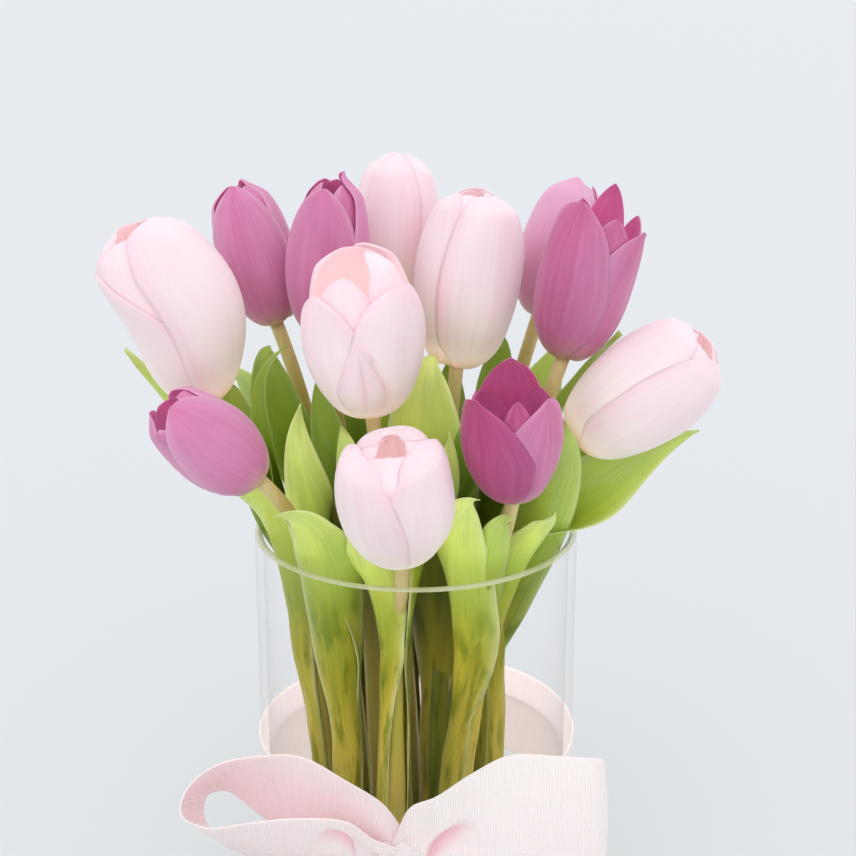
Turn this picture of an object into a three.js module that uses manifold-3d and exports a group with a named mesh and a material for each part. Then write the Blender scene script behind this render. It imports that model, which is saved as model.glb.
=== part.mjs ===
// Twelve cut tulips standing in water in a round glass vase, with a ribbon tied round the vase.
// Millimetres, +Z up. The origin is the centre of the vase's underside and the bow faces -Y.

import * as THREE from 'three';
import Module from 'manifold-3d';

const wasm = await Module();
wasm.setup();

// Vase and water
const VASE_RADIUS = 60;
const VASE_HEIGHT = 180;
const WALL = 3;
const BASE = 10;
const EDGE = 1.5;
const ROUND_SIDES = 48;
const GAP = 0.3;
const WATER_LEVEL = 87;
const HOLE_CLEARANCE = 0.4;

// Ribbon, 38 mm wide
const RIBBON_WIDTH = 38;
const RIBBON_THICKNESS = 0.8;
const BAND_MIDDLE = 78;
const BAND_GATHER = 20;
const KNOT = { x: -5, y: -66, z: 77, width: 16, depth: 9, height: 18 };
const TAIL_ROWS = 5;

// Stems
const STEM_FOOT_RADIUS = 4.3;
const STEM_NECK_RADIUS = 2.6;
const STEM_SIDES = 6;
const STEM_ROWS = 7;

// Petals and leaves: a leaf is rooted near the middle of its stem and soon stands clear of it
const PETAL_THICKNESS = 0.8;
const LEAF_THICKNESS = 0.8;
const INNER_INSET = 3.4;
const SPIRAL = 0.8;
const BLOOM_SEAT = 1;
const LEAF_ROWS = 6;
const LEAF_WAVE = 1.2;
const LEAF_ROOT = 0.8;
const LEAF_CLEAR = 1.8;
const MIDDLE_RISE = 50;

const COLOURS = {
  pink: 0xf3cfd8,
  mauve: 0xb9659c,
  green: 0x86a83c,
  glass: 0xdfeae8,
  water: 0xd9dcc0,
  ribbon: 0xf2c9cf,
};

// Each tulip: the cut foot of its stem, the top of the stem, the way the stem arrives there,
// the tip of the bloom, its radius, how open the mouth is, and its petals.
// A petal is [angle from the front, length, width], the last two as shares of the bloom's own,
// and for a petal that lies outside the others how far out it stands.
const TULIPS = {
  p1: {
    foot: [-31, -4], neck: [-73, -9, 232], arrive: [-0.55, 0, 0.83], tip: [-99, -14, 296],
    radius: 23, mouth: 0.4, kind: 'pink',
    outer: [[45, 1, 1], [-75, 0.94, 1], [165, 0.97, 1]],
    inner: [[-15, 0.95, 0.9], [105, 0.97, 0.9], [-135, 0.94, 0.9]],
  },
  m1: {
    foot: [-22, 14], neck: [-52, 24, 251], arrive: [-0.34, 0.05, 0.94], tip: [-66, 26, 304],
    radius: 15, mouth: 0.3, kind: 'mauve',
    outer: [[5, 1, 1], [125, 1, 1], [-115, 0.97, 1]],
    inner: [[65, 0.96, 0.9], [-175, 0.96, 0.9], [-55, 0.94, 0.9]],
  },
  m2: {
    foot: [-12, 6], neck: [-34, 7, 251], arrive: [-0.15, 0, 0.99], tip: [-29, 8, 310],
    radius: 15, mouth: 0.3, kind: 'mauve',
    outer: [[-15, 0.97, 1], [105, 1, 0.95], [-135, 0.95, 1]],
    inner: [[45, 0.93, 0.9], [165, 0.95, 0.9], [-75, 0.92, 0.9]],
  },
  p2: {
    foot: [-3, 22], neck: [-9, 40, 248], arrive: [0, 0.15, 0.99], tip: [-6, 42, 312],
    radius: 16.5, mouth: 0.4, kind: 'pink',
    outer: [[-45, 1, 1], [75, 1, 1], [-165, 0.97, 1]],
    inner: [[15, 0.95, 0.9], [135, 0.95, 0.9], [-105, 0.95, 0.9]],
  },
  p4: {
    foot: [6, 6], neck: [15, 8, 239], arrive: [0.1, 0.05, 0.99], tip: [22, 12, 304],
    radius: 20, mouth: 0.4, kind: 'pink',
    outer: [[35, 0.95, 1], [155, 0.97, 1], [-85, 0.95, 1]],
    inner: [[-25, 0.93, 0.9], [95, 0.94, 0.9], [-145, 1, 0.9]],
  },
  p3: {
    foot: [-6, -9], neck: [-15, -28, 233], arrive: [-0.1, -0.1, 0.98], tip: [-21, -32, 293],
    radius: 21, mouth: 0.55, kind: 'pink',
    outer: [[45, 0.86, 0.9], [-78, 0.78, 0.9], [-14, 0.55, 0.42, 2], [168, 0.95, 1]],
    inner: [[-16, 0.84, 0.75], [108, 1, 0.9], [-128, 0.98, 0.95]],
  },
  m3: {
    foot: [14, 20], neck: [46, 31, 252], arrive: [0.29, 0.05, 0.95], tip: [61, 34, 304],
    radius: 15, mouth: 0.3, kind: 'mauve',
    outer: [[-25, 1, 1], [95, 0.96, 1], [-145, 0.97, 1]],
    inner: [[35, 0.96, 0.9], [155, 0.96, 0.9], [-85, 0.94, 0.9]],
  },
  m4: {
    foot: [20, 7], neck: [53, -4, 246], arrive: [0.32, -0.03, 0.95], tip: [70, -3, 309],
    radius: 17, mouth: 0.5, kind: 'mauve',
    outer: [[-48, 0.86, 1], [62, 0.78, 0.95], [175, 0.97, 0.9]],
    inner: [[5, 0.82, 0.7], [122, 0.86, 0.9], [-120, 0.9, 0.9]],
  },
  p5: {
    foot: [26, -8], neck: [57, -15, 219], arrive: [0.65, -0.1, 0.75], tip: [103, -20, 256],
    radius: 19.5, mouth: 0.4, kind: 'pink',
    outer: [[40, 0.96, 1], [-70, 0.94, 1], [160, 1, 1]],
    inner: [[-15, 0.94, 0.9], [100, 0.98, 0.9], [-130, 0.96, 0.9]],
  },
  m5: {
    foot: [-25, -17], neck: [-54, -39, 212], arrive: [-0.68, -0.12, 0.72], tip: [-87, -46, 242],
    radius: 15, mouth: 0.45, kind: 'mauve',
    outer: [[30, 0.95, 1.05], [150, 0.95, 1], [-90, 1, 1]],
    inner: [[-30, 0.85, 0.9], [90, 0.95, 0.9], [-150, 0.95, 0.9]],
  },
  p6: {
    foot: [-9, -25], neck: [-4, -49, 189], arrive: [0.05, -0.35, 0.94], tip: [-8, -72, 240],
    radius: 19.5, mouth: 0.42, kind: 'pink',
    outer: [[-58, 0.97, 1], [62, 0.97, 1], [180, 1.03, 1.05]],
    inner: [[4, 0.95, 0.8], [122, 0.95, 0.9], [-118, 0.95, 0.9]],
  },
  m6: {
    foot: [11, -21], neck: [34, -45, 208], arrive: [0.19, -0.1, 0.98], tip: [32, -52, 257],
    radius: 17, mouth: 0.5, kind: 'mauve',
    outer: [[-56, 0.84, 1.05], [58, 0.8, 1.05], [178, 1, 1]],
    inner: [[6, 0.84, 0.6], [112, 0.9, 0.8], [-122, 0.9, 0.8]],
  },
};

// The leaves of each tulip: the height of the root, the side of the stem the leaf leaves from, how
// far it stands from the stem in the vase, a point near the rim and the tip; then half its width,
// the way its inner face looks outside the vase, and where it differs how far that face looks up,
// how sharply the leaf folds along its middle and how far it opens from a tight curl.
const LEAVES = {
  p1: [
    { root: 118, side: 140, hug: 4, over: [-71, 4, 214], tip: [-105, 6, 247],
      half: 5, face: 90 },
    { root: 96, side: 205, hug: 6, over: [-54.5, -22, 192], tip: [-76, -17, 206],
      half: 12, face: 50, open: 0.7 },
    { root: 126, side: 50, hug: 6, over: [-56, -6, 222], tip: [-46, -4, 250],
      half: 4, face: 270 },
    { root: 104, side: 5, hug: 5, over: [-60, -2, 211], tip: [-65, -1, 237],
      half: 8, face: 270, fold: 0.2 },
  ],
  m1: [
    { root: 98, side: 200, hug: 6, over: [-50, 10, 212], tip: [-54, 11, 246],
      half: 13, face: 290, fold: 0.4, open: 0.7 },
    { root: 96, side: 140, hug: 8, over: [-55, 37, 200], tip: [-74, 47, 230],
      half: 14, face: 330, fold: 0.2, open: 0.7 },
  ],
  m2: [
    { root: 108, side: 100, hug: 5, over: [-25, 20, 205], tip: [-24, 26, 240],
      half: 9, face: 280, fold: 0.2 },
  ],
  p2: [
    { root: 96, side: 80, hug: 9, over: [-12, 54, 204], tip: [-14, 72, 236],
      half: 15, face: 270, fold: 0.3, open: 0.6 },
    { root: 108, side: 190, hug: 6, over: [-28, 42, 206], tip: [-38, 50, 246],
      half: 10, face: 320, fold: 0.2 },
  ],
  p4: [
    { root: 98, side: 250, hug: 7, over: [3, -8, 214], tip: [7, -3, 246],
      half: 16, face: 90, open: 0.5 },
    { root: 106, side: 70, hug: 5, over: [12, 22, 206], tip: [14, 30, 238],
      half: 10, face: 270, fold: 0.2 },
    { root: 110, side: 320, hug: 5, over: [19, -19, 214], tip: [32, -18, 247],
      half: 8, face: 70 },
  ],
  p3: [
    { root: 108, side: 170, hug: 6, over: [-28, -11, 205], tip: [-35, -10, 242],
      half: 10, face: 275, fold: 0.3 },
    { root: 98, side: 265, hug: 6, over: [-19, -34, 200], tip: [-25, -32, 229],
      half: 10, face: 80, fold: 0.3 },
  ],
  m3: [
    { root: 106, side: 220, hug: 5, over: [28, 21, 216], tip: [32, 24, 247],
      half: 10, face: 270, fold: 0.3 },
    { root: 98, side: 70, hug: 8, over: [43, 50, 200], tip: [58, 65, 232],
      half: 15, face: 240, fold: 0.3, open: 0.6 },
    { root: 112, side: 340, hug: 5, over: [54, 18, 217], tip: [76, 18, 249],
      half: 8, face: 200, fold: 0.2 },
  ],
  m4: [
    { root: 98, side: 60, hug: 7, over: [65, 15, 205], tip: [104, 10, 227],
      half: 13, face: 245, fold: 0.3, open: 0.7 },
  ],
  p5: [
    { root: 102, side: 230, hug: 7, over: [45, -28, 198], tip: [51, -28, 232],
      half: 13, face: 80, fold: 0.2, open: 0.5 },
    { root: 106, side: 322, hug: 6, over: [63, -9, 196], tip: [102, -6, 220],
      half: 12, face: 270, up: 0.5, fold: 0.4, open: 0.7 },
  ],
  m5: [
    { root: 106, side: 40, hug: 6, over: [-37, -28, 200], tip: [-40, -27, 236],
      half: 10, face: 85, open: 0.7 },
    { root: 96, side: 270, hug: 6, over: [-33, -45, 188], tip: [-49, -48, 202],
      half: 12, face: 80, open: 0.6, fold: 0.2 },
  ],
  p6: [
    { root: 108, side: 50, hug: 5, over: [8, -33, 196], tip: [12, -34, 228],
      half: 8, face: 100, fold: 0.2 },
    { root: 96, side: 210, hug: 6, over: [-14, -47, 180], tip: [-20, -50, 193],
      half: 9, face: 80, fold: 0.2 },
  ],
  m6: [
    { root: 96, side: 210, hug: 9, over: [17, -52, 195], tip: [22, -58, 212],
      half: 10, face: 90, fold: 0.5, open: 0.7 },
    { root: 104, side: 262, hug: 7, over: [28, -46, 190], tip: [33, -54, 203],
      half: 7, face: 80, fold: 0.3 },
    { root: 106, side: 355, hug: 7, over: [42, -39, 188], tip: [48, -45, 201],
      half: 9, face: 110, fold: 0.4 },
  ],
};

const vec = (values) => new THREE.Vector3(...values);
const turn = (degrees) => THREE.MathUtils.degToRad(degrees);
const smooth = (t) => t * t * (3 - 2 * t);

// The value at t of a cubic through four control values.
function cubic(values, t) {
  const s = 1 - t;
  return s ** 3 * values[0] + 3 * s * s * t * values[1] + 3 * s * t * t * values[2] + t ** 3 * values[3];
}

function solid(points, triangles) {
  const vertProperties = new Float32Array(points.flatMap((point) => point.toArray()));
  const triVerts = new Uint32Array(triangles.flat());
  return new wasm.Manifold(new wasm.Mesh({ numProp: 3, vertProperties, triVerts }));
}

// The solid between rings of equal length; a closed row of rings joins its last to its first.
function loft(rings, closed = false) {
  const count = rings[0].length;
  const last = rings.length - 1;
  const triangles = [];
  for (let i = 0; i < rings.length - (closed ? 0 : 1); i += 1) {
    const next = (i + 1) % rings.length;
    for (let j = 0; j < count; j += 1) {
      const k = (j + 1) % count;
      triangles.push([i * count + j, i * count + k, next * count + k]);
      triangles.push([i * count + j, next * count + k, next * count + j]);
    }
  }
  if (!closed) {
    for (let j = 1; j < count - 1; j += 1) {
      triangles.push([0, j + 1, j]);
      triangles.push([last * count, last * count + j, last * count + j + 1]);
    }
  }
  return solid(rings.flat(), triangles);
}

function ring(centre, first, second, radius, sides) {
  return Array.from({ length: sides }, (_, k) => {
    const angle = (2 * Math.PI * k) / sides;
    return centre.clone().addScaledVector(first, radius * Math.cos(angle))
      .addScaledVector(second, radius * Math.sin(angle));
  });
}

// A round body from its [radius, height] outline, which starts and ends flat on the axis.
function turned(outline, sides) {
  const x = vec([1, 0, 0]);
  const y = vec([0, 1, 0]);
  return loft(outline.map(([radius, height]) => ring(vec([0, 0, height]), x, y, radius, sides)));
}

// A thin closed blade whose two faces follow the rows of points and are split alike.
function blade(rows, thickness) {
  const m = rows.length - 1;
  const n = rows[0].length - 1;
  const normal = (i, j) => {
    const along = rows[Math.min(i + 1, m)][j].clone().sub(rows[Math.max(i - 1, 0)][j]);
    const across = rows[i][Math.min(j + 1, n)].clone().sub(rows[i][Math.max(j - 1, 0)]);
    return along.cross(across).normalize();
  };
  const shifted = (distance) => rows.flatMap((row, i) => row.map(
    (point, j) => point.clone().addScaledVector(normal(i, j), distance)));
  const points = [...shifted(thickness / 2), ...shifted(-thickness / 2)];
  const top = (i, j) => i * (n + 1) + j;
  const under = (m + 1) * (n + 1);
  const triangles = [];
  for (let i = 0; i < m; i += 1) {
    for (let j = 0; j < n; j += 1) {
      const [a, b, c, d] = [top(i, j), top(i + 1, j), top(i + 1, j + 1), top(i, j + 1)];
      triangles.push([a, b, c], [a, c, d]);
      triangles.push([under + a, under + c, under + b], [under + a, under + d, under + c]);
    }
  }
  const rim = [];
  for (let i = 0; i < m; i += 1) rim.push(top(i, 0));
  for (let j = 0; j < n; j += 1) rim.push(top(m, j));
  for (let i = m; i > 0; i -= 1) rim.push(top(i, n));
  for (let j = n; j > 0; j -= 1) rim.push(top(0, j));
  rim.forEach((p, k) => {
    const q = rim[(k + 1) % rim.length];
    triangles.push([under + p, under + q, q], [under + p, q, p]);
  });
  return solid(points, triangles);
}

// Joins bodies, keeps the one body that holds them and leaves out scraps and sealed hollows.
function join(bodies) {
  const pieces = wasm.Manifold.union(bodies).simplify(0.1).decompose();
  return pieces.reduce((best, piece) => (piece.volume() > best.volume() ? piece : best));
}

function stemCurve(tulip) {
  const foot = vec([...tulip.foot, BASE + GAP]);
  const neck = vec(tulip.neck);
  const rise = neck.z - foot.z;
  const low = foot.clone().add(vec([foot.x * 0.1, foot.y * 0.1, rise * 0.5]));
  const high = neck.clone().addScaledVector(vec(tulip.arrive).normalize(), -0.25 * rise);
  return new THREE.CubicBezierCurve3(foot, low, high, neck);
}

function pointAtHeight(curve, height) {
  let below = 0;
  let above = 1;
  for (let k = 0; k < 30; k += 1) {
    const middle = (below + above) / 2;
    if (curve.getPoint(middle).z < height) below = middle;
    else above = middle;
  }
  return curve.getPoint(below);
}

// A stem, cut level at its foot and square to the bloom at its top, or its hole with some extra.
function stem(tulip, extra = 0) {
  const curve = stemCurve(tulip);
  const rings = [];
  for (let i = 0; i <= STEM_ROWS; i += 1) {
    const t = i / STEM_ROWS;
    const tangent = i === STEM_ROWS ? bloomFrame(tulip).axis : curve.getTangent(t);
    const first = tangent.clone().cross(vec([0, 1, 0])).negate().normalize();
    const second = tangent.clone().cross(first);
    const radius = THREE.MathUtils.lerp(STEM_NECK_RADIUS, STEM_FOOT_RADIUS, (1 - t) ** 2) + extra;
    const centre = curve.getPoint(t);
    if (i === 0) centre.z -= extra;
    rings.push(i === 0
      ? ring(centre, vec([1, 0, 0]), vec([0, 1, 0]), radius, STEM_SIDES)
      : ring(centre, first, second, radius, STEM_SIDES));
  }
  return loft(rings);
}

const level = (degrees, up = 0) => vec([Math.cos(turn(degrees)), Math.sin(turn(degrees)), up]);

// A leaf leaves the stem, runs up beside it, passes its point near the rim and ends at its tip.
function leafCurve(tulip, leaf) {
  const curve = stemCurve(tulip);
  const out = level(leaf.side);
  const root = pointAtHeight(curve, leaf.root).addScaledVector(out, LEAF_ROOT);
  const middle = pointAtHeight(curve, leaf.root + MIDDLE_RISE).addScaledVector(out, leaf.hug);
  const through = [root, middle, vec(leaf.over), vec(leaf.tip)];
  const blend = (weights) => through.reduce(
    (sum, point, k) => sum.addScaledVector(point, weights[k] / 6), vec([0, 0, 0]));
  return new THREE.CubicBezierCurve3(root, blend([-5, 18, -9, 2]), blend([2, -9, 18, -5]), through[3]);
}

// Half the width of a leaf: a clasping foot, widest past its middle, then drawn to a point.
function leafHalf(widest, t) {
  const belly = 0.55;
  if (t < belly) return widest * (0.16 + 0.84 * Math.sin((Math.PI / 2) * (t / belly) ** 0.8));
  return Math.max(0.6, widest * (1 - ((t - belly) / (1 - belly)) ** 1.8));
}

// Rows across a leaf, curled round its stem at the foot and opening towards the tip.
function leafRows(tulip, leaf) {
  const { side, half: widest, face, up = 0.15, fold = 0, open = 1 } = leaf;
  const curve = leafCurve(tulip, leaf);
  const columns = widest > 10 ? 4 : 2;
  const swing = THREE.MathUtils.euclideanModulo(face - side, 360) - 180;
  const rows = [];
  for (let i = 0; i <= LEAF_ROWS; i += 1) {
    const t = i / LEAF_ROWS;
    const swung = swing * smooth(THREE.MathUtils.clamp((t - 0.3) / 0.5, 0, 1));
    const tangent = curve.getTangent(t);
    const across = tangent.clone().cross(level(side + 180 + swung, t * up)).normalize();
    const inward = across.clone().cross(tangent).normalize();
    const half = leafHalf(widest, t);
    const curl = cubic([1.2, 1.5, 0.7, 0.3], t) * open;
    const clear = LEAF_CLEAR * Math.sin(Math.PI * Math.min(1, 3 * t));
    const centre = curve.getPoint(t).addScaledVector(level(side), clear);
    const row = [];
    for (let j = 0; j <= columns; j += 1) {
      const u = (2 * j) / columns - 1;
      const crease = fold * half * Math.abs(u) * Math.sin(Math.PI * t);
      const wave = LEAF_WAVE * u * Math.sin(3 * Math.PI * t + side) * smooth(t);
      const rise = (half / curl) * (1 - Math.cos(curl * u)) + crease + wave;
      row.push(centre.clone().addScaledVector(across, (half / curl) * Math.sin(curl * u))
        .addScaledVector(inward, rise));
    }
    rows.push(row);
  }
  return rows;
}

function leafyStem(tulip, leaves) {
  return join([stem(tulip), ...leaves.map((leaf) => blade(leafRows(tulip, leaf), LEAF_THICKNESS))]);
}

function bloomFrame(tulip) {
  const axis = vec(tulip.tip).sub(vec(tulip.neck));
  const length = axis.length();
  axis.normalize();
  const right = vec([0, 1, 0]).cross(axis).normalize();
  const front = right.clone().cross(axis);
  return { base: vec(tulip.neck), axis, right, front, length };
}

// Rows across a petal, from its foot to its tip. One edge lies over the next petal and the other
// edge under the one before.
function petalRows(tulip, [angle, long, wide, out = 0], inset, rowCount, columns) {
  const { base, axis, right, front, length } = bloomFrame(tulip);
  const [pointed, blunt] = tulip.kind === 'mauve' ? [0.8, 1.2] : [0.45, 3];
  const rows = [];
  for (let i = 0; i <= rowCount; i += 1) {
    const s = 1 - (1 - i / rowCount) ** 1.5;
    const foot = BLOOM_SEAT + 0.75 * inset * (1 - s);
    const height = foot + (length * long - foot) * cubic([0, 0.03, 0.74, 1], s);
    const grown = smooth(Math.min(1, (5 * height) / length));
    const close = cubic([0.15, 1.2, 1.25, tulip.mouth], s * (0.55 + 0.45 * long));
    const radius = Math.max(1.6, tulip.radius * close - inset + out * grown);
    const belly = 0.5;
    const taper = s < belly
      ? 0.2 + 0.8 * Math.sin((Math.PI / 2) * (s / belly))
      : (1 - ((s - belly) / (1 - belly)) ** 2.4) ** pointed;
    const half = Math.max(blunt, tulip.radius * wide * taper);
    const spread = Math.min((0.75 + 0.3 * grown) * wide, half / radius);
    const row = [];
    for (let j = 0; j <= columns; j += 1) {
      const u = (2 * j) / columns - 1;
      const around = turn(angle) + spread * u;
      const reach = radius + SPIRAL * u * grown;
      row.push(base.clone().addScaledVector(axis, height)
        .addScaledVector(front, reach * Math.cos(around))
        .addScaledVector(right, reach * Math.sin(around)));
    }
    rows.push(row);
  }
  return rows;
}

// A bloom: three or four outer petals and three inner ones, rooted in a small round seat.
function bloom(tulip) {
  const { base, axis, right, front } = bloomFrame(tulip);
  const seat = [[GAP, 2.8], [2.2, 1 + 0.16 * tulip.radius], [5.5, 2.6]].map(([height, radius]) => ring(
    base.clone().addScaledVector(axis, height), front, right, radius, STEM_SIDES));
  const outer = tulip.outer.map((petal) => petalRows(tulip, petal, 0, 5, 3));
  const inner = tulip.inner.map((petal) => petalRows(tulip, petal, INNER_INSET, 3, 2));
  return join([loft(seat), ...[...outer, ...inner].map((rows) => blade(rows, PETAL_THICKNESS))]);
}

function vase() {
  const inside = VASE_RADIUS - WALL;
  return turned([
    [VASE_RADIUS - 2, 0],
    [VASE_RADIUS, 2],
    [VASE_RADIUS, VASE_HEIGHT - EDGE],
    [VASE_RADIUS - 0.5, VASE_HEIGHT - 0.4],
    [VASE_RADIUS - EDGE, VASE_HEIGHT],
    [inside + 0.5, VASE_HEIGHT - 0.4],
    [inside, VASE_HEIGHT - EDGE],
    [inside, BASE + 2],
    [inside - 2, BASE],
  ], ROUND_SIDES);
}

function water() {
  const radius = VASE_RADIUS - WALL - GAP - 0.1;
  const body = turned([
    [radius - 2, BASE + GAP],
    [radius, BASE + GAP + 2],
    [radius, WATER_LEVEL],
  ], ROUND_SIDES);
  const holes = Object.values(TULIPS).map((tulip) => stem(tulip, HOLE_CLEARANCE));
  return join([body.subtract(wasm.Manifold.union(holes))]);
}

// The band narrows towards the knot at the front, where the ribbon is gathered.
function band() {
  const near = VASE_RADIUS + GAP;
  const far = near + RIBBON_THICKNESS;
  const rings = [];
  for (let k = 0; k < ROUND_SIDES; k += 1) {
    const angle = (2 * Math.PI * k) / ROUND_SIDES;
    const fromFront = Math.acos(-Math.sin(angle));
    const gather = smooth(Math.max(0, 1 - fromFront / 0.8));
    const half = (RIBBON_WIDTH - BAND_GATHER * gather) / 2;
    const middle = BAND_MIDDLE + (KNOT.z - BAND_MIDDLE) * gather;
    rings.push([[far, -half], [near, -half], [near, half], [far, half]].map(([radius, height]) => vec(
      [radius * Math.cos(angle), radius * Math.sin(angle), middle + height])));
  }
  return loft(rings, true);
}

const path = (points) => new THREE.CatmullRomCurve3(points.map(vec), false, 'centripetal');

// The two edges of each loop of the bow, from the knot round the loop and back to the knot
const LEFT_LOOP = {
  top: [
    [-2, -68, 82], [-14, -72, 90], [-24, -78, 101], [-41, -80, 103], [-58, -75, 98],
    [-74, -65, 90], [-84, -58, 91], [-83, -55, 98], [-72, -55, 109], [-54, -60, 116],
    [-40, -66, 119], [-24, -71, 112], [-12, -69, 102], [-7, -67, 94], [-2, -66, 83],
  ],
  bottom: [
    [-2, -67, 72], [-13, -63, 66], [-24, -60, 70], [-41, -57, 71], [-56, -49, 68],
    [-70, -36, 64], [-80, -28, 72], [-79, -26, 80], [-72, -27, 83], [-57, -40, 80],
    [-43, -53, 79], [-27, -57, 75], [-14, -62, 72], [-8, -64, 71], [-2, -66, 73],
  ],
};
const RIGHT_LOOP = {
  top: [
    [-9, -66, 82], [-4, -65, 92], [7, -64, 96], [23, -61, 104], [46, -57, 110],
    [62, -60, 113], [66, -65, 117], [63, -69, 120], [50, -71, 122], [33, -72, 123],
    [20, -72, 116], [7, -71, 106], [-1, -70, 102], [-5, -68, 94], [-9, -68, 83],
  ],
  bottom: [
    [-9, -66, 74], [-3, -64, 70], [9, -62, 69], [23, -61, 70], [47, -58, 72],
    [63, -64, 74], [67, -70, 78], [64, -74, 81], [51, -76, 83], [33, -76, 83],
    [20, -74, 78], [9, -70, 70], [0, -67, 66], [-4, -66, 69], [-9, -67, 71],
  ],
};

// One loop of the bow, between its top and bottom edges.
function bowLoop({ top, bottom }) {
  const high = path(top);
  const low = path(bottom);
  const rows = [];
  for (let i = 0; i < top.length; i += 1) {
    const t = i / (top.length - 1);
    rows.push([0, 0.5, 1].map((share) => low.getPoint(t).lerp(high.getPoint(t), share)));
  }
  return blade(rows, RIBBON_THICKNESS);
}

// One hanging end of the ribbon, from points given relative to the knot, with a notched end.
function bowTail(points) {
  const line = path(points.map(([x, y, z]) => [KNOT.x + x, KNOT.y + y, KNOT.z + z]));
  const rows = [];
  for (let i = 0; i <= TAIL_ROWS; i += 1) {
    const t = i / TAIL_ROWS;
    const half = THREE.MathUtils.lerp(5, RIBBON_WIDTH / 2, smooth(Math.min(1, t / 0.6)));
    rows.push([-1, 0, 1].map((u) => {
      const notch = i === TAIL_ROWS ? -7 * Math.abs(u) : 0;
      return line.getPoint(t).add(vec([u * half, -2 * (1 - u * u) * (1 - t), notch]));
    }));
  }
  return blade(rows, RIBBON_THICKNESS);
}

function bow() {
  const knot = loft([-1, -0.8, 0.8, 1].map((u) => {
    const round = Math.abs(u) === 1 ? 0.375 : 0.5;
    return Array.from({ length: 10 }, (_, k) => {
      const angle = (2 * Math.PI * k) / 10;
      const y = KNOT.y + round * KNOT.depth * Math.cos(angle);
      const z = KNOT.z + round * KNOT.height * Math.sin(angle);
      return vec([KNOT.x + (u * KNOT.width) / 2, y, z]);
    });
  }));
  return join([
    knot,
    bowLoop(LEFT_LOOP),
    bowLoop(RIGHT_LOOP),
    bowTail([[-3, 0, -6], [-8, -4, -16], [-19, -2, -42], [-27, -3, -66]]),
    bowTail([[4, 0, -6], [11, -5, -17], [21, -3, -40], [32, -4, -64]]),
  ]);
}

function named(name, body, color, roughness, opacity = 1) {
  const { vertProperties, triVerts } = body.getMesh();
  const geometry = new THREE.BufferGeometry();
  geometry.setAttribute('position', new THREE.BufferAttribute(new Float32Array(vertProperties), 3));
  geometry.setIndex(new THREE.BufferAttribute(new Uint32Array(triVerts), 1));
  geometry.computeVertexNormals();
  const finish = { color, roughness, metalness: 0, opacity, transparent: opacity < 1 };
  const mesh = new THREE.Mesh(geometry, new THREE.MeshStandardMaterial(finish));
  mesh.name = name;
  return mesh;
}

const part = new THREE.Group();
part.name = 'tulips_in_vase';
part.add(named('vase', vase(), COLOURS.glass, 0.05, 0.3));
part.add(named('water', water(), COLOURS.water, 0.05, 0.4));
part.add(named('ribbon_band', band(), COLOURS.ribbon, 0.7));
part.add(named('ribbon_bow', bow(), COLOURS.ribbon, 0.7));
Object.entries(TULIPS).forEach(([name, tulip]) => {
  part.add(named(`leafy_stem_${name}`, leafyStem(tulip, LEAVES[name]), COLOURS.green, 0.5));
  part.add(named(`bloom_${name}`, bloom(tulip), COLOURS[tulip.kind], 0.5));
});

export default part;
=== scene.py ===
"""Twelve cut tulips in water in a round glass vase, with a grosgrain ribbon tied round the vase.

The finer pieces follow the same curves as the CAD solids that they replace. Shapes are worked
out in millimetres and made in metres, +Z up, with the bow facing -Y.
"""

import math
import random
from typing import NamedTuple

import bpy
import numpy as np
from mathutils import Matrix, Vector


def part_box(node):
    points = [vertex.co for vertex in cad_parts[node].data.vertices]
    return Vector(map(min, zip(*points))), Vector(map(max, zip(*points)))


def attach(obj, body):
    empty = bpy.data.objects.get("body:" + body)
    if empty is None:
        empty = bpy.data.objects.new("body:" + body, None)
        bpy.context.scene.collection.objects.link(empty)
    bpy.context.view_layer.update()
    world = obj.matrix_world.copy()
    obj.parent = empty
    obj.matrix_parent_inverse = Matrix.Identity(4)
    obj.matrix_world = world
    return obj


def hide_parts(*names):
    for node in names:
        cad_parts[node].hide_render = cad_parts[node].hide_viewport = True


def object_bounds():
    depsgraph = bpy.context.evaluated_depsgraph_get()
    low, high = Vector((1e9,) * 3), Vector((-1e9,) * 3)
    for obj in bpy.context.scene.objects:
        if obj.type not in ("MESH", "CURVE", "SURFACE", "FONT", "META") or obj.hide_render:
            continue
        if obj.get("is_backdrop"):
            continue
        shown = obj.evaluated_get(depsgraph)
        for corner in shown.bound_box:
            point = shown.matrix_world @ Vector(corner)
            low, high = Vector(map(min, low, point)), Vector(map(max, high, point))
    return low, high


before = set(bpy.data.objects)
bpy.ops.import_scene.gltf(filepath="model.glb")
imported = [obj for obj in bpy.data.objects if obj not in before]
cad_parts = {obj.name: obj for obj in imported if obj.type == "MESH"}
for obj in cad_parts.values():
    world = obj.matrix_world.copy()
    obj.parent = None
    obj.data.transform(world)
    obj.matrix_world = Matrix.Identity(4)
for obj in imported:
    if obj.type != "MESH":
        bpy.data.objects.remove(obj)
CAD_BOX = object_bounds()

MM = 0.001

# The camera, with the photograph's size and focal length in pixels, and the floor
CAMERA_PLACE = (4.5, -621.2, 429)
CAMERA_DOWN = 18.77
CAMERA_FOCAL = 1790
PHOTO_SIZE = 856
FLOOR_COLOUR = (0.65, 0.67, 0.685, 1)

# Vase and water
VASE_LOW, VASE_HIGH = (np.array(corner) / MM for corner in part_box("vase"))
VASE_RADIUS = (VASE_HIGH[0] - VASE_LOW[0]) / 2
VASE_HEIGHT = VASE_HIGH[2]
WALL = 3
BASE = 10
FOOT_ROUND = 2.5
FLAT_FROM_WALL = 14
INNER_CORNER = 4
ROUND_SIDES = 160
WATER_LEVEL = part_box("water")[1][2] / MM
WATER_OVERLAP = 0.05
MENISCUS = 0.9

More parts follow.
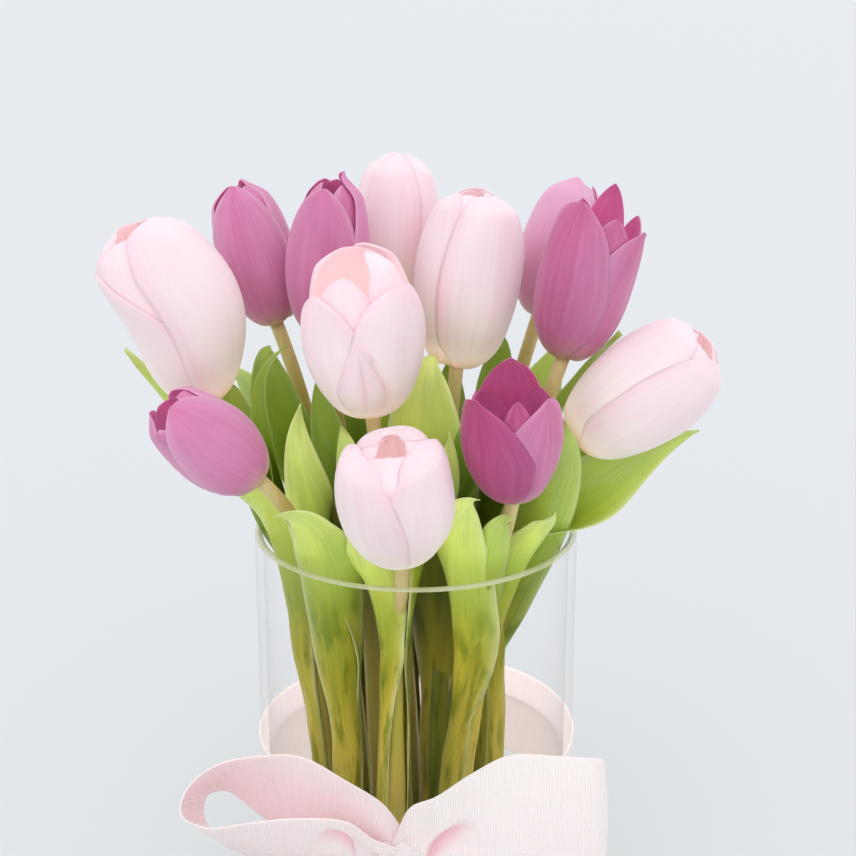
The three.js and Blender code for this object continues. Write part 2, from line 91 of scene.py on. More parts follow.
# Ribbon
RIBBON_WIDTH = 38
RIBBON_THICKNESS = 0.45
RIBBON_CLEAR = 0.6
BAND_MIDDLE = 78
BAND_GATHER = 20
KNOT_X = -5
KNOT_Y = -66
KNOT_Z = 77
KNOT_WIDTH = 16
KNOT_DEPTH = 9
KNOT_HEIGHT = 18
KNOT_GATHERED = 18
KNOT_INSET = 0.5
TAIL_ROOT = 5
TAIL_NOTCH = 7
RIB_PITCH = 1.05

# Stems, leaves and petals
GAP = 0.3
STEM_FOOT_RADIUS = 4.3
STEM_NECK_RADIUS = 2.6
STEM_SIDES = 40
SHEATH_RADIUS = 5.4
SHEATH_ABOVE_ROOT = 30
STEM_ROWS = 60
LEAF_ROWS = 56
LEAF_COLUMNS = 16
CLASP_LOW = 22
CLASP_ROWS = 24
LEAF_WAVE = 1.6
LEAF_FOLD = 0.28
LEAF_ROOT = 0.8
LEAF_CLEAR = 1.8
MIDDLE_RISE = 50
PETAL_ROWS = 34
PETAL_COLUMNS = 24
CROWN = {"pink": 0.86, "mauve": 0.8}
TIP_FORM = {"pink": (2.3, 0.62), "mauve": (1.9, 0.8)}
PETAL_WIDER = 1.28
PETAL_WAVE = 0.7
LAYER_STEP = 0.55
BLOOM_SEAT = 1


class Petal(NamedTuple):
    """One petal: its angle from the front, its length and width as shares of the bloom's own,
    how far out it stands, how pointed it is, from 0 to 1, and how much deeper than the bloom's
    its colour is. A negative value paints the petal lighter than the rest of its bloom: painted
    light on the side that the light falls on."""

    angle: float
    long: float = 1
    wide: float = 1
    out: float = 0
    point: float = 0
    deeper: float = 0


class Tulip(NamedTuple):
    """One tulip: where its stem stands, ends and points, its bloom's tip and size, its petals
    from the outermost, how deep its colour is, partly its own colour and partly painted light and
    shade, how its petals nip in at their tips, how full the bloom is low down and how far its
    middle bends to the right."""

    foot: tuple
    neck: tuple
    arrive: tuple
    tip: tuple
    radius: float
    mouth: float
    kind: str
    outer: list
    inner: list
    depth: float = 0
    nip: float = 0.12
    belly: float = 1.2
    bend: float = 0


class Leaf(NamedTuple):
    """One leaf: its root's height and side on the stem, how far it stands from the stem, a point
    that it passes, its tip, half its width, the way it faces, how it is folded and opened, and
    how much painted shade darkens its green, from 0 to 1."""

    root: float
    side: float
    hug: float
    over: tuple
    tip: tuple
    half: float
    face: float
    up: float = 0.15
    fold: float = 0
    open: float = 1
    deep: float = 0.3


# Pink tulips are p and mauve ones m. Each petal's values are in the order that Petal gives.
TULIPS = {
    "p1": Tulip(
        foot=(-31, -4), neck=(-73, -9, 232), arrive=(-0.55, 0, 0.83), tip=(-99, -14, 296),
        radius=23, mouth=0.46, kind="pink",
        outer=[(62, 1, 1), (-70, 0.86, 1, 0, 0.8), (175, 0.98, 1)],
        inner=[(-10, 0.97, 0.95), (112, 0.97, 0.9), (-118, 1, 1)],
        nip=0.3, belly=0.95, bend=4.5,
    ),
    "m1": Tulip(
        foot=(-22, 14), neck=(-52, 24, 251), arrive=(-0.34, 0.05, 0.94), tip=(-66, 26, 304),
        radius=15, mouth=0.4, kind="mauve",
        outer=[(-6, 0.98, 1), (116, 1, 1), (-120, 0.97, 1)],
        inner=[(60, 0.96, 0.9), (-175, 0.96, 0.9), (-62, 0.98, 0.9)],
        depth=0.1, nip=0.4,
    ),
    "m2": Tulip(
        foot=(-12, 6), neck=(-34, 7, 251), arrive=(-0.15, 0, 0.99), tip=(-29, 8, 310),
        radius=15, mouth=0.4, kind="mauve",
        outer=[(-18, 0.93, 1), (100, 1.02, 0.95, 1), (-135, 0.96, 1)],
        inner=[(42, 0.95, 0.9), (165, 0.96, 0.9), (-75, 0.95, 0.9)],
        depth=0.2, nip=0.35,
    ),
    "p2": Tulip(
        foot=(-3, 22), neck=(-9, 40, 248), arrive=(0, 0.15, 0.99), tip=(-6, 42, 312),
        radius=16.5, mouth=0.46, kind="pink",
        outer=[(-42, 1, 1.05), (78, 0.99, 1), (198, 0.98, 1)],
        inner=[(20, 0.98, 0.95), (138, 0.97, 0.95), (-102, 0.97, 0.95)],
        nip=0.5,
    ),
    "p4": Tulip(
        foot=(6, 6), neck=(15, 8, 239), arrive=(0.1, 0.05, 0.99), tip=(22, 12, 304),
        radius=20, mouth=0.48, kind="pink",
        outer=[(38, 0.98, 1), (165, 1, 1), (-84, 0.97, 1)],
        inner=[(-22, 0.97, 0.95), (100, 0.99, 0.95), (-140, 0.98, 0.95)],
        nip=0.5,
    ),
    "p3": Tulip(
        foot=(-6, -9), neck=(-15, -28, 233), arrive=(-0.1, -0.1, 0.98), tip=(-21, -32, 293),
        radius=21, mouth=0.55, kind="pink",
        outer=[(50, 0.82, 0.9, 0, 0.3), (-46, 0.8, 0.82, 0, 0.6), (-2, 0.54, 0.42, 1.2, 1),
               (145, 0.99, 0.85, 0, 0.6)],
        inner=[(-16, 0.9, 0.62, 0, 0.6), (52, 0.99, 0.7, 0, 0.8), (-150, 0.97, 1.1)],
        nip=0.35,
    ),
    "m3": Tulip(
        foot=(14, 20), neck=(46, 31, 252), arrive=(0.29, 0.05, 0.95), tip=(61, 34, 304),
        radius=15, mouth=0.4, kind="mauve",
        outer=[(-25, 1, 1), (95, 0.96, 1), (-145, 0.97, 1)],
        inner=[(35, 0.96, 0.9), (155, 0.96, 0.9), (-85, 0.94, 0.9)],
        # Depth below zero: painted light, lighter for a bloom that sits in shade.
        depth=-0.7, nip=0.4,
    ),
    "m4": Tulip(
        foot=(20, 7), neck=(53, -4, 246), arrive=(0.32, -0.03, 0.95), tip=(70, -3, 309),
        radius=17, mouth=0.55, kind="mauve",
        # The right petal's deeper is below zero: painted light where the light falls on it.
        outer=[(-46, 0.88, 1.02), (62, 0.8, 1.05, 0, 0, -0.15), (170, 0.98, 0.45)],
        inner=[(10, 0.84, 0.6), (112, 0.85, 0.6), (-130, 0.86, 0.9)],
        depth=0.45,
    ),
    "p5": Tulip(
        foot=(26, -8), neck=(57, -15, 219), arrive=(0.65, -0.1, 0.75), tip=(103, -20, 256),
        radius=19.5, mouth=0.46, kind="pink",
        outer=[(46, 0.97, 1.05), (-72, 0.97, 1), (168, 1, 1)],
        inner=[(-12, 0.96, 0.95), (105, 1, 0.95), (-130, 0.97, 0.95)],
        nip=0.45,
    ),
    "m5": Tulip(
        foot=(-25, -17), neck=(-54, -39, 212), arrive=(-0.68, -0.12, 0.72), tip=(-87, -46, 242),
        radius=15, mouth=0.5, kind="mauve",
        outer=[(30, 0.95, 1.05), (150, 0.95, 1), (-90, 1, 1)],
        inner=[(-30, 0.9, 0.9), (90, 0.93, 0.9), (-150, 0.95, 0.9)],
        nip=0.3,
    ),
    "p6": Tulip(
        foot=(-9, -25), neck=(-4, -49, 189), arrive=(0.05, -0.35, 0.94), tip=(-8, -71, 237),
        radius=19.5, mouth=0.62, kind="pink",
        outer=[(-60, 0.97, 1), (60, 0.97, 1), (180, 1.03, 1.1, -2)],
        inner=[(2, 0.98, 0.95), (122, 0.98, 0.95, -1.5), (-118, 0.98, 0.95, -1.5)],
        nip=0.52,
    ),
    "m6": Tulip(
        foot=(11, -21), neck=(34, -45, 208), arrive=(0.19, -0.1, 0.98), tip=(32, -52, 257),
        radius=17, mouth=0.55, kind="mauve",
        # The left petal is painted a little darker as shade and the right one lighter as painted light,
        # with the light from the right.
        outer=[(-52, 0.84, 1.1, 0, 0.1, 0.1), (55, 0.82, 1.1, 0, 0.1, -0.45),
               (178, 1, 0.9, 0, 0.5)],
        inner=[(2, 0.86, 0.35), (118, 0.76, 0.8), (-118, 0.76, 0.8)],
        depth=0.8,
    ),
}

# The leaves that grow on each tulip's stem
LEAVES = {
    "p1": [
        Leaf(118, 140, 4, (-78, 4, 212), (-106, 6, 246), half=5, face=90),
        Leaf(96, 205, 6, (-54.5, -22, 192), (-76, -17, 206), half=12, face=50, open=0.7, deep=0.15),
        Leaf(126, 50, 6, (-56, -6, 222), (-46, -4, 250), half=4, face=270, deep=0.8),
        Leaf(104, 5, 5, (-60, -2, 211), (-65, -1, 237), half=8, face=270, fold=0.2, deep=0.6),
    ],
    "m1": [
        Leaf(98, 200, 6, (-50, 10, 212), (-54, 11, 246), half=13, face=290, fold=0.4, open=0.7, deep=0.7),
        Leaf(96, 140, 8, (-55, 37, 200), (-74, 47, 230), half=14, face=330, fold=0.2, open=0.7, deep=0.5),
    ],
    "m2": [
        Leaf(108, 100, 5, (-25, 20, 205), (-24, 26, 240), half=9, face=280, fold=0.2, deep=1.0),
    ],
    "p2": [
        Leaf(96, 80, 9, (-12, 54, 204), (-14, 72, 236), half=15, face=270, fold=0.3, open=0.6, deep=0.4),
        Leaf(108, 190, 6, (-28, 42, 206), (-38, 50, 246), half=10, face=320, fold=0.2, deep=0.8),
    ],
    "p4": [
        Leaf(98, 250, 7, (3, -8, 214), (7, -3, 246), half=16, face=90, open=0.5, deep=0),
        Leaf(106, 70, 5, (12, 22, 206), (14, 30, 238), half=10, face=270, fold=0.2, deep=0.9),
        Leaf(110, 320, 5, (19, -19, 214), (32, -18, 247), half=8, face=70, deep=1.0),
    ],
    "p3": [
        Leaf(108, 170, 6, (-28, -11, 205), (-35, -10, 242), half=10, face=275, fold=0.3, deep=0.9),
        Leaf(98, 265, 6, (-19, -34, 200), (-25, -32, 229), half=10, face=80, fold=0.3, deep=0.5),
    ],
    "m3": [
        Leaf(106, 220, 5, (28, 21, 216), (32, 24, 247), half=10, face=270, fold=0.3, deep=0.9),
        Leaf(98, 70, 8, (43, 50, 200), (58, 65, 232), half=15, face=240, fold=0.3, open=0.6, deep=0.5),
        Leaf(112, 340, 5, (54, 18, 217), (76, 18, 249), half=8, face=200, fold=0.2, deep=0.6),
    ],
    "m4": [
        Leaf(98, 60, 7, (65, 15, 205), (104, 10, 227), half=13, face=245, fold=0.3, open=0.7, deep=0.5),
    ],
    "p5": [
        Leaf(102, 230, 7, (45, -28, 198), (51, -28, 232), half=13, face=80, fold=0.2, open=0.5, deep=0.5),
        Leaf(106, 322, 6, (63, -9, 195), (103, -6, 219), half=15, face=270, up=0.5, fold=0.4, open=0.7),
    ],
    "m5": [
        Leaf(106, 40, 6, (-37, -28, 200), (-40, -27, 236), half=10, face=85, open=0.7, deep=0),
        Leaf(96, 270, 6, (-33, -45, 188), (-49, -48, 202), half=12, face=80, open=0.6, fold=0.2, deep=0.2),
    ],
    "p6": [
        Leaf(108, 50, 5, (8, -33, 196), (12, -34, 228), half=8, face=100, fold=0.2, deep=0.1),
        Leaf(96, 188, 6, (-17, -44, 180), (-24, -48, 195), half=9, face=80, fold=0.2, deep=0),
    ],
    "m6": [
        Leaf(96, 210, 9, (13, -53, 193), (22, -58, 212), half=12, face=90, fold=0.5, open=0.7, deep=0),
        Leaf(104, 262, 7, (26.5, -49, 190), (32, -57, 204), half=7, face=80, fold=0.3, deep=0.4),
        Leaf(106, 355, 7, (42, -39, 188), (48, -45, 201), half=9, face=110, fold=0.4, deep=0.1),
    ],
}


def unit(vectors):
    vectors = np.asarray(vectors, float)
    return vectors / np.linalg.norm(vectors, axis=-1, keepdims=True)


def smooth(t):
    t = np.clip(t, 0, 1)
    return t * t * (3 - 2 * t)


def level(degrees, up=0):
    """A direction at an angle from +X, level or rising."""
    turn = math.radians(degrees)
    return np.array([math.cos(turn), math.sin(turn), up])


def bezier(controls, t):
    """The value at t of a cubic through four control values or points."""
    s = 1 - t
    a, b, c, d = controls
    return s**3 * a + 3 * s * s * t * b + 3 * s * t * t * c + t**3 * d


def bezier_slope(controls, t):
    """The slope at t of the same cubic."""
    s = 1 - t
    a, b, c, d = controls
    return 3 * (s * s * (b - a) + 2 * s * t * (c - b) + t * t * (d - c))


def spline(points, t):
    """The point at t, from 0 to 1, of a centripetal curve through the points."""
    points = [np.array(point, float) for point in points]
    whole = [2 * points[0] - points[1], *points, 2 * points[-1] - points[-2]]
    place = t * (len(points) - 1)
    first = min(int(place), len(points) - 2)
    w = place - first
    p0, p1, p2, p3 = whole[first:first + 4]
    d0, d1, d2 = (math.sqrt(np.linalg.norm(b - a)) for a, b in ((p0, p1), (p1, p2), (p2, p3)))
    start = ((p1 - p0) / d0 - (p2 - p0) / (d0 + d1) + (p2 - p1) / d1) * d1
    end = ((p2 - p1) / d1 - (p3 - p1) / (d1 + d2) + (p3 - p2) / d2) * d1
    bend = 2 * p1 - 2 * p2 + start + end
    lean = 3 * p2 - 3 * p1 - 2 * start - end
    return p1 + start * w + lean * w * w + bend * w**3


class Shape:
    """Points in millimetres, faces, and the marks at each point that the finishes read."""

    def __init__(self, *marks):
        self.points = []
        self.faces = []
        self.marks = {mark: [] for mark in marks}
        self.count = 0

    def add(self, points, faces, **marks):
        points = np.asarray(points).reshape(-1, 3)
        self.points.append(points)
        self.faces.extend((np.asarray(face) + self.count).tolist() for face in faces)
        for name, values in self.marks.items():
            values.append(np.broadcast_to(np.ravel(marks.get(name, 0)), len(points)))
        self.count += len(points)


def quads(rows, columns, ring=False):
    """Faces of a grid of points, each a row of four, and its rims in order."""
    at = np.arange(rows * columns).reshape(rows, columns)
    if ring:
        at = np.vstack([at, at[:1]])
    faces = np.stack([at[:-1, :-1], at[1:, :-1], at[1:, 1:], at[:-1, 1:]], -1).reshape(-1, 4)
    rims = [[*at[:-1, 0], *at[-1, :-1], *at[:0:-1, -1], *at[0, :0:-1]]]
    if ring:
        rims = [list(at[:-1, 0]), list(at[:-1, -1])[::-1]]
    return faces, rims


def normals(grid, ring=False):
    if ring:
        along = np.roll(grid, -1, 0) - np.roll(grid, 1, 0)
    else:
        along = np.gradient(grid, axis=0)
    return unit(np.cross(along, np.gradient(grid, axis=1)))


def add_sheet(shape, grid, thickness, ring=False, **marks):
    """A thin closed sheet along a grid of points. The mark "front" is 1 on the side that the
    grid's normals point to."""
    rows, columns = grid.shape[:2]
    offset = normals(grid, ring) * np.broadcast_to(thickness, (rows, columns))[..., None] / 2
    points = np.concatenate([(grid + offset).reshape(-1, 3), (grid - offset).reshape(-1, 3)])
    faces, rims = quads(rows, columns, ring)
    under = rows * columns
    closed = [*faces, *(faces[:, ::-1] + under)]
    for rim in rims:
        following = rim[1:] + rim[:1]
        closed += [(under + p, under + q, q, p) for p, q in zip(rim, following)]
    twice = {}
    for name, values in marks.items():
        values = np.broadcast_to(values, (rows, columns)).ravel()
        twice[name] = np.concatenate([values, values])
    front = np.repeat([1.0, 0.0], under)
    shape.add(points, closed, front=front, **twice)


def add_tube(shape, rings, **marks):
    """A solid through rings of points of equal count, closed by a fan at both ends."""
    rings = np.asarray(rings)
    rows, sides = rings.shape[:2]
    at = np.arange(rows * sides).reshape(rows, sides)
    following = np.roll(at, -1, 1)
    faces = np.stack([at[:-1], following[:-1], following[1:], at[1:]], -1).reshape(-1, 4)
    ends = [rings[0].mean(0), rings[-1].mean(0)]
    points = np.concatenate([rings.reshape(-1, 3), ends])
    low, high = rows * sides, rows * sides + 1
    caps = [(low, at[0, k], at[0, k - 1]) for k in range(sides)]
    caps += [(high, at[-1, k - 1], at[-1, k]) for k in range(sides)]
    spread = {}
    for name, values in marks.items():
        values = np.broadcast_to(np.asarray(values)[:, None], (rows, sides)).ravel()
        spread[name] = np.concatenate([values, [values[0], values[-1]]])
    shape.add(points, [*faces, *caps], **spread)


def circle(centre, first, second, radius, sides):
    turn = np.linspace(0, 2 * math.pi, sides, endpoint=False)[:, None]
    return centre + radius * (np.cos(turn) * first + np.sin(turn) * second)


def piece(name, shape, finish, slot, *nodes):
    """The shape as an object that rides on the root body and stands for the CAD nodes."""
    mesh = bpy.data.meshes.new(name)
    mesh.from_pydata((np.concatenate(shape.points) * MM).tolist(), [], shape.faces)
    for mark, values in shape.marks.items():
        attribute = mesh.attributes.new(mark, "FLOAT", "POINT")
        attribute.data.foreach_set("value", np.concatenate(values).astype(np.float32))
    mesh.shade_smooth()
    mesh.materials.append(finish)
    made = bpy.data.objects.new(name, mesh)
    bpy.context.scene.collection.objects.link(made)
    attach(made, "root")
    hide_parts(*nodes)
    return made


def stem_controls(tulip):
    foot = np.array([*tulip.foot, BASE + GAP], float)
    neck = np.array(tulip.neck, float)
    rise = neck[2] - foot[2]
    low = foot + [foot[0] * 0.1, foot[1] * 0.1, rise * 0.5]
    high = neck - unit(tulip.arrive) * 0.25 * rise
    return foot, low, high, neck


def place_on_stem(controls, height):
    """How far along a stem, from 0 to 1, a height is reached."""
    below, above = 0, 1
    for _ in range(30):
        middle = (below + above) / 2
        if bezier(controls, middle)[2] < height:
            below = middle
        else:
            above = middle
    return below


def sheath_ring(centre, first, second, radius, wrap, seam):
    """A ring round a stem where a leaf's foot may be wrapped over it, with its free edge."""
    turn = np.linspace(0, 2 * math.pi, STEM_SIDES, endpoint=False)[:, None]
    rolled = ((turn - seam) / (2 * math.pi)) % 1
    reach = radius + wrap * (SHEATH_RADIUS - radius - 0.6 * rolled + 0.1 * np.sin(7 * turn))
    return centre + reach * (np.cos(turn) * first + np.sin(turn) * second)


def stem_shape(tulip, leaves):
    """A round stem, cut level at its foot, and wrapped in the feet of its leaves low down."""
    shape = Shape("along", "wrap", "sunk")
    controls = stem_controls(tulip)
    axis = bloom_frame(tulip)[1]
    lowest = min(leaf.root for leaf in leaves)
    bare = place_on_stem(controls, lowest + SHEATH_ABOVE_ROOT)
    # The wrapped leaf's free edge faces another way on each stem
    seam = math.radians(tulip.foot[0] * 9 - 100)
    rings = []
    wraps = []
    along = np.linspace(0, 1, STEM_ROWS + 1)
    for t in along:
        # Level where the foot is cut, and square to the bloom at the neck
        tangent = unit(bezier_slope(controls, t))
        tangent = unit(tangent + (axis - tangent) * smooth((t - 0.8) / 0.2))
        tangent = unit(np.array([0, 0, 1]) + (tangent - [0, 0, 1]) * smooth(t / 0.1))
        first = -unit(np.cross(tangent, [0, 1, 0]))
        second = np.cross(tangent, first)
        radius = STEM_NECK_RADIUS + (STEM_FOOT_RADIUS - STEM_NECK_RADIUS) * (1 - t) ** 2
        wrap = smooth((bare - t) / 0.3) * smooth((t - 0.02) / 0.05)
        centre = bezier(controls, t)
        rings.append(sheath_ring(centre, first, second, radius, wrap, seam + 2 * t))
        wraps.append(wrap)
    middles = np.array(rings).mean(1)
    add_tube(shape, rings, along=along, wrap=wraps, sunk=sunk(middles))
    return shape


def leaf_controls(tulip, leaf):
    """A leaf's line: up from its root beside the stem, past a point near the rim, to its tip."""
    controls = stem_controls(tulip)
    out = level(leaf.side)
    root = bezier(controls, place_on_stem(controls, leaf.root)) + out * LEAF_ROOT
    middle = place_on_stem(controls, leaf.root + MIDDLE_RISE)
    middle = bezier(controls, middle) + out * leaf.hug
    over = np.array(leaf.over, float)
    tip = np.array(leaf.tip, float)
    # The cubic that comes by these two at a third and two thirds of its run
    leaving = (-5 * root + 18 * middle - 9 * over + 2 * tip) / 6
    nearing = (2 * root - 9 * middle + 18 * over - 5 * tip) / 6
    return root, leaving, nearing, tip


def leaf_half(widest, t):
    """Half the width of a leaf: a clasping foot, widest past its middle, then a point."""
    belly = 0.55
    if t < belly:
        return widest * (0.16 + 0.84 * math.sin(math.pi / 2 * (t / belly) ** 0.8))
    return max(0.15, widest * (1 - ((t - belly) / (1 - belly)) ** 1.9) ** 1.2)


def leaf_row(controls, leaf, swing, t, u):
    """Points across a leaf: curled round its stem at the foot, opening towards the tip."""
    turned = swing * smooth((t - 0.3) / 0.5)
    tangent = unit(bezier_slope(controls, t))
    across = unit(np.cross(tangent, level(leaf.side + 180 + turned, t * leaf.up)))
    inward = unit(np.cross(across, tangent))
    half = leaf_half(leaf.half, t)
    curl = bezier((1.2, 1.5, 0.7, 0.3), t) * leaf.open
    clear = LEAF_CLEAR * math.sin(math.pi * min(1, 3 * t))
    centre = bezier(controls, t) + level(leaf.side) * clear
    crease = (LEAF_FOLD + leaf.fold) * half * (np.sqrt(u * u + 0.01) - 0.1)
    crease = crease * math.sin(math.pi * min(1, 1.3 * t))
    wave = LEAF_WAVE * u * math.sin(3 * math.pi * t + leaf.side) * smooth(t)
    ripple = 0.35 * u**2 * np.sin(11 * math.pi * t + 2 * u + leaf.side) * smooth(2 * t)
    rise = half / curl * (1 - np.cos(curl * u)) + crease + wave + ripple
    beside = half / curl * np.sin(curl * u)
    return centre + beside[:, None] * across + rise[:, None] * inward


def clasped_row(stem, leaf, height, reach, u):
    """Points across the foot of a leaf at a height, wrapped half round its stem."""
    middle = bezier(stem, place_on_stem(stem, height))
    turn = math.radians(leaf.side) - 1.15 * u
    around = np.stack([np.cos(turn), np.sin(turn), 0 * u], -1)
    return middle + around * (reach + 0.25 * np.sin(5 * u + height / 9))[:, None]


def sunk(points):
    """How much painted shade points get from lying deep in the bunch, from 0 at its outside to 1
    at its middle. The bunch widens upwards, and the painted shade inside it fades above the rim."""
    height = points[..., 2]
    outside = 28 + 14 * smooth((height - 60) / 120) + 0.6 * np.maximum(0, height - 180)
    inside = 1 - np.hypot(points[..., 0], points[..., 1]) / outside
    shade = (0.3 + 0.7 * smooth((height - 110) / 50)) * (1 - smooth((height - 185) / 40))
    return np.clip(inside * 2, 0, 1) * shade


def add_leaf(shape, tulip, leaf, tone, reach):
    """A leaf: its foot clasps the stem low in the vase and its blade leaves it near the rim."""
    controls = leaf_controls(tulip, leaf)
    stem = stem_controls(tulip)
    swing = (leaf.face - leaf.side) % 360 - 180
    u = np.linspace(-1, 1, LEAF_COLUMNS + 1)
    grid = []
    for height in np.linspace(CLASP_LOW, leaf.root, CLASP_ROWS, endpoint=False):
        grid.append(clasped_row(stem, leaf, height, reach, u))
    ts = np.linspace(0, 1, LEAF_ROWS + 1)
    for t in ts:
        clasped = clasped_row(stem, leaf, bezier(controls, t)[2], reach, u)
        free = leaf_row(controls, leaf, swing, t, u)
        grid.append(clasped + (free - clasped) * smooth(t / 0.3))
    run = np.concatenate([np.linspace(-0.4, 0, CLASP_ROWS, endpoint=False), ts])
    along, side = np.meshgrid(run, u, indexing="ij")
    thick = (0.3 + 0.45 * (1 - side**2)) * (1 - 0.5 * np.clip(along, 0, 1))
    grid = np.array(grid)
    add_sheet(shape, grid, thick, along=along, across=side, tone=tone, deep=leaf.deep,
              sunk=sunk(grid))


def leaves_shape(tulip, leaves, chance):
    shape = Shape("along", "across", "front", "tone", "deep", "sunk")
    for order, leaf in enumerate(leaves):
        add_leaf(shape, tulip, leaf, chance.uniform(0, 1), SHEATH_RADIUS + 0.1 + 0.35 * order)
    return shape


def bloom_frame(tulip):
    """A bloom's base, the way it points, its right and its front, and its length."""
    base = np.array(tulip.neck, float)
    axis = np.array(tulip.tip, float) - base
    length = np.linalg.norm(axis)
    axis = axis / length
    right = unit(np.cross([0, 1, 0], axis))
    return base, axis, right, np.cross(right, axis), length


def climb(tulip, t):
    """How far up the bloom its outline has come at t, from 0 to 1."""
    return bezier((0, 0.03, CROWN[tulip.kind], 1), t)


def cup_radius(tulip, petal, layer, rise):
    """How far a petal stands from the bloom's axis at heights given as shares of the bloom's."""
    steps = np.linspace(0, 1, 80)
    reached = np.interp(rise, climb(tulip, steps), steps)
    close = bezier((0.15, tulip.belly, 1.25, tulip.mouth), reached)
    nip = 1 - tulip.nip * smooth((reached - 0.84) / 0.16)
    grown = smooth(5 * rise)
    radius = (tulip.radius * close + petal.out * grown) * nip - LAYER_STEP * layer * grown
    return np.maximum(1.2, radius)


def petal_half(tulip, petal, s):
    """Half the width of a petal: a narrow foot, a belly, then a round or a pointed tip."""
    belly = 0.45 - 0.2 * petal.point
    past = np.clip((s - belly) / (1 - belly), 0, 1)
    swell, blunt = TIP_FORM[tulip.kind]
    tip = (1 - past ** (swell - 0.8 * petal.point)) ** (blunt + 0.3 * petal.point)
    taper = np.where(s < belly, 0.2 + 0.8 * np.sin(math.pi / 2 * s / belly), tip)
    return np.maximum(0.25, tulip.radius * PETAL_WIDER * petal.wide * taper)


def unevenness(tulip, around, rise):
    """A bloom's own dents and bulges, as shares of its radius."""
    broad = np.sin(2 * around + 3 * rise + tulip.radius) * np.sin(5 * rise + tulip.foot[0])
    return 0.04 * broad + 0.02 * np.sin(5 * around - 6 * rise + tulip.foot[1]) * rise


def add_petal(shape, tulip, petal, layer, tone):
    """A petal, cupped round the bloom. It lies under the petals of lower layers, follows the
    bloom's own uneven form, waves a little at its margins and closes over at its tip."""
    base, axis, right, front, length = bloom_frame(tulip)
    s = 1 - (1 - np.linspace(0, 1, PETAL_ROWS + 1)[:, None]) ** 1.8
    u = np.linspace(-1, 1, PETAL_COLUMNS + 1)[None, :]
    foot = BLOOM_SEAT + 0.4 * layer * (1 - s)
    height = foot + (length * petal.long - foot) * climb(tulip, s)
    rise = height / length
    grown = smooth(5 * rise)
    radius = cup_radius(tulip, petal, layer, rise)
    spread = np.minimum((0.85 + 0.4 * grown) * petal.wide, petal_half(tulip, petal, s) / radius)
    around = math.radians(petal.angle) + 0.2 * (tone - 0.5) * s + spread * u
    groove = 0.3 * np.exp(-((u / 0.1) ** 2)) * smooth(s / 0.3) * (1 - smooth((s - 0.6) / 0.4))
    wave = PETAL_WAVE * u**2 * np.sin(9 * s + 3 * u + 30 * tone) * smooth((s - 0.5) / 0.5)
    tucked = 0.35 * np.abs(u) ** 8
    reach = radius * (1 + unevenness(tulip, around, rise) * grown)
    reach = reach + (wave - groove - tucked) * grown
    beside = reach * np.sin(around) + tulip.bend * np.sin(math.pi * np.minimum(1, rise)) ** 2
    grid = (base + height[..., None] * axis
            + (reach * np.cos(around))[..., None] * front
            + beside[..., None] * right)
    side = u + 0 * s
    thick = 0.25 + 0.3 * (1 - side**2) * (1 - 0.5 * s)
    add_sheet(shape, grid, thick, along=s + 0 * u, across=side, tone=tone,
              depth=tulip.depth + petal.deeper)


def petals_shape(tulip, chance):
    """Three or four outer petals and three inner ones round a small round seat."""
    shape = Shape("along", "across", "front", "tone", "depth")
    base, axis, right, front, length = bloom_frame(tulip)
    profile = [(GAP, 2.6), (0.9, 3 + 0.03 * tulip.radius), (2.2, 1 + 0.14 * tulip.radius),
               (4, 0.8 + 0.11 * tulip.radius), (5.5, 2.2)]
    rings = [circle(base + axis * height, front, right, radius, STEM_SIDES)
             for height, radius in profile]
    add_tube(shape, rings, depth=np.full(len(profile), tulip.depth))
    for layer, petal in enumerate(tulip.outer + tulip.inner):
        add_petal(shape, tulip, Petal(*petal), layer, chance.uniform(0, 1))
    return shape


def turned_shape(outline):
    """A round solid from its (radius, height) outline, closed across the axis at both ends."""
    shape = Shape()
    x, y = np.array([1, 0, 0]), np.array([0, 1, 0])
    rings = [circle(np.array([0, 0, height]), x, y, radius, ROUND_SIDES)
             for radius, height in outline]
    add_tube(shape, rings)
    return shape


def corner(radius, height, size, start):
    """Points of a rounded corner about a centre, a quarter turn on from an angle in degrees."""
    turns = np.radians(start + np.linspace(0, 90, 7))
    return [(radius + size * math.cos(turn), height + size * math.sin(turn)) for turn in turns]


def vase_shape():
    """The glass: a thick base with rounded edges, a straight wall and a fire-polished rim."""
    inside = VASE_RADIUS - WALL
    rim = WALL / 2
    outline = [(VASE_RADIUS - FLAT_FROM_WALL, 0)]
    outline += corner(VASE_RADIUS - FOOT_ROUND, FOOT_ROUND, FOOT_ROUND, -90)
    outline += [(VASE_RADIUS, height) for height in np.linspace(10, VASE_HEIGHT - 10, 9)]
    outline += corner(VASE_RADIUS - rim, VASE_HEIGHT - rim, rim, 0)
    outline += corner(VASE_RADIUS - rim, VASE_HEIGHT - rim, rim, 90)[1:]
    outline += [(inside, height) for height in np.linspace(VASE_HEIGHT - 10, BASE + 8, 9)]
    outline += corner(inside - INNER_CORNER, BASE + INNER_CORNER, -INNER_CORNER, 180)[::-1]
    outline += [(inside - FLAT_FROM_WALL, BASE)]
    return turned_shape(outline)


def finish_ends(vase, base, rim):
    """Gives the base and the rim of the vase their own finishes."""
    vase.data.materials.append(base)
    vase.data.materials.append(rim)
    for face in vase.data.polygons:
        if face.center.z < (BASE + 0.5) * MM:
            face.material_index = 1
        if face.center.z > (VASE_HEIGHT - 0.4 * WALL) * MM:
            face.material_index = 2


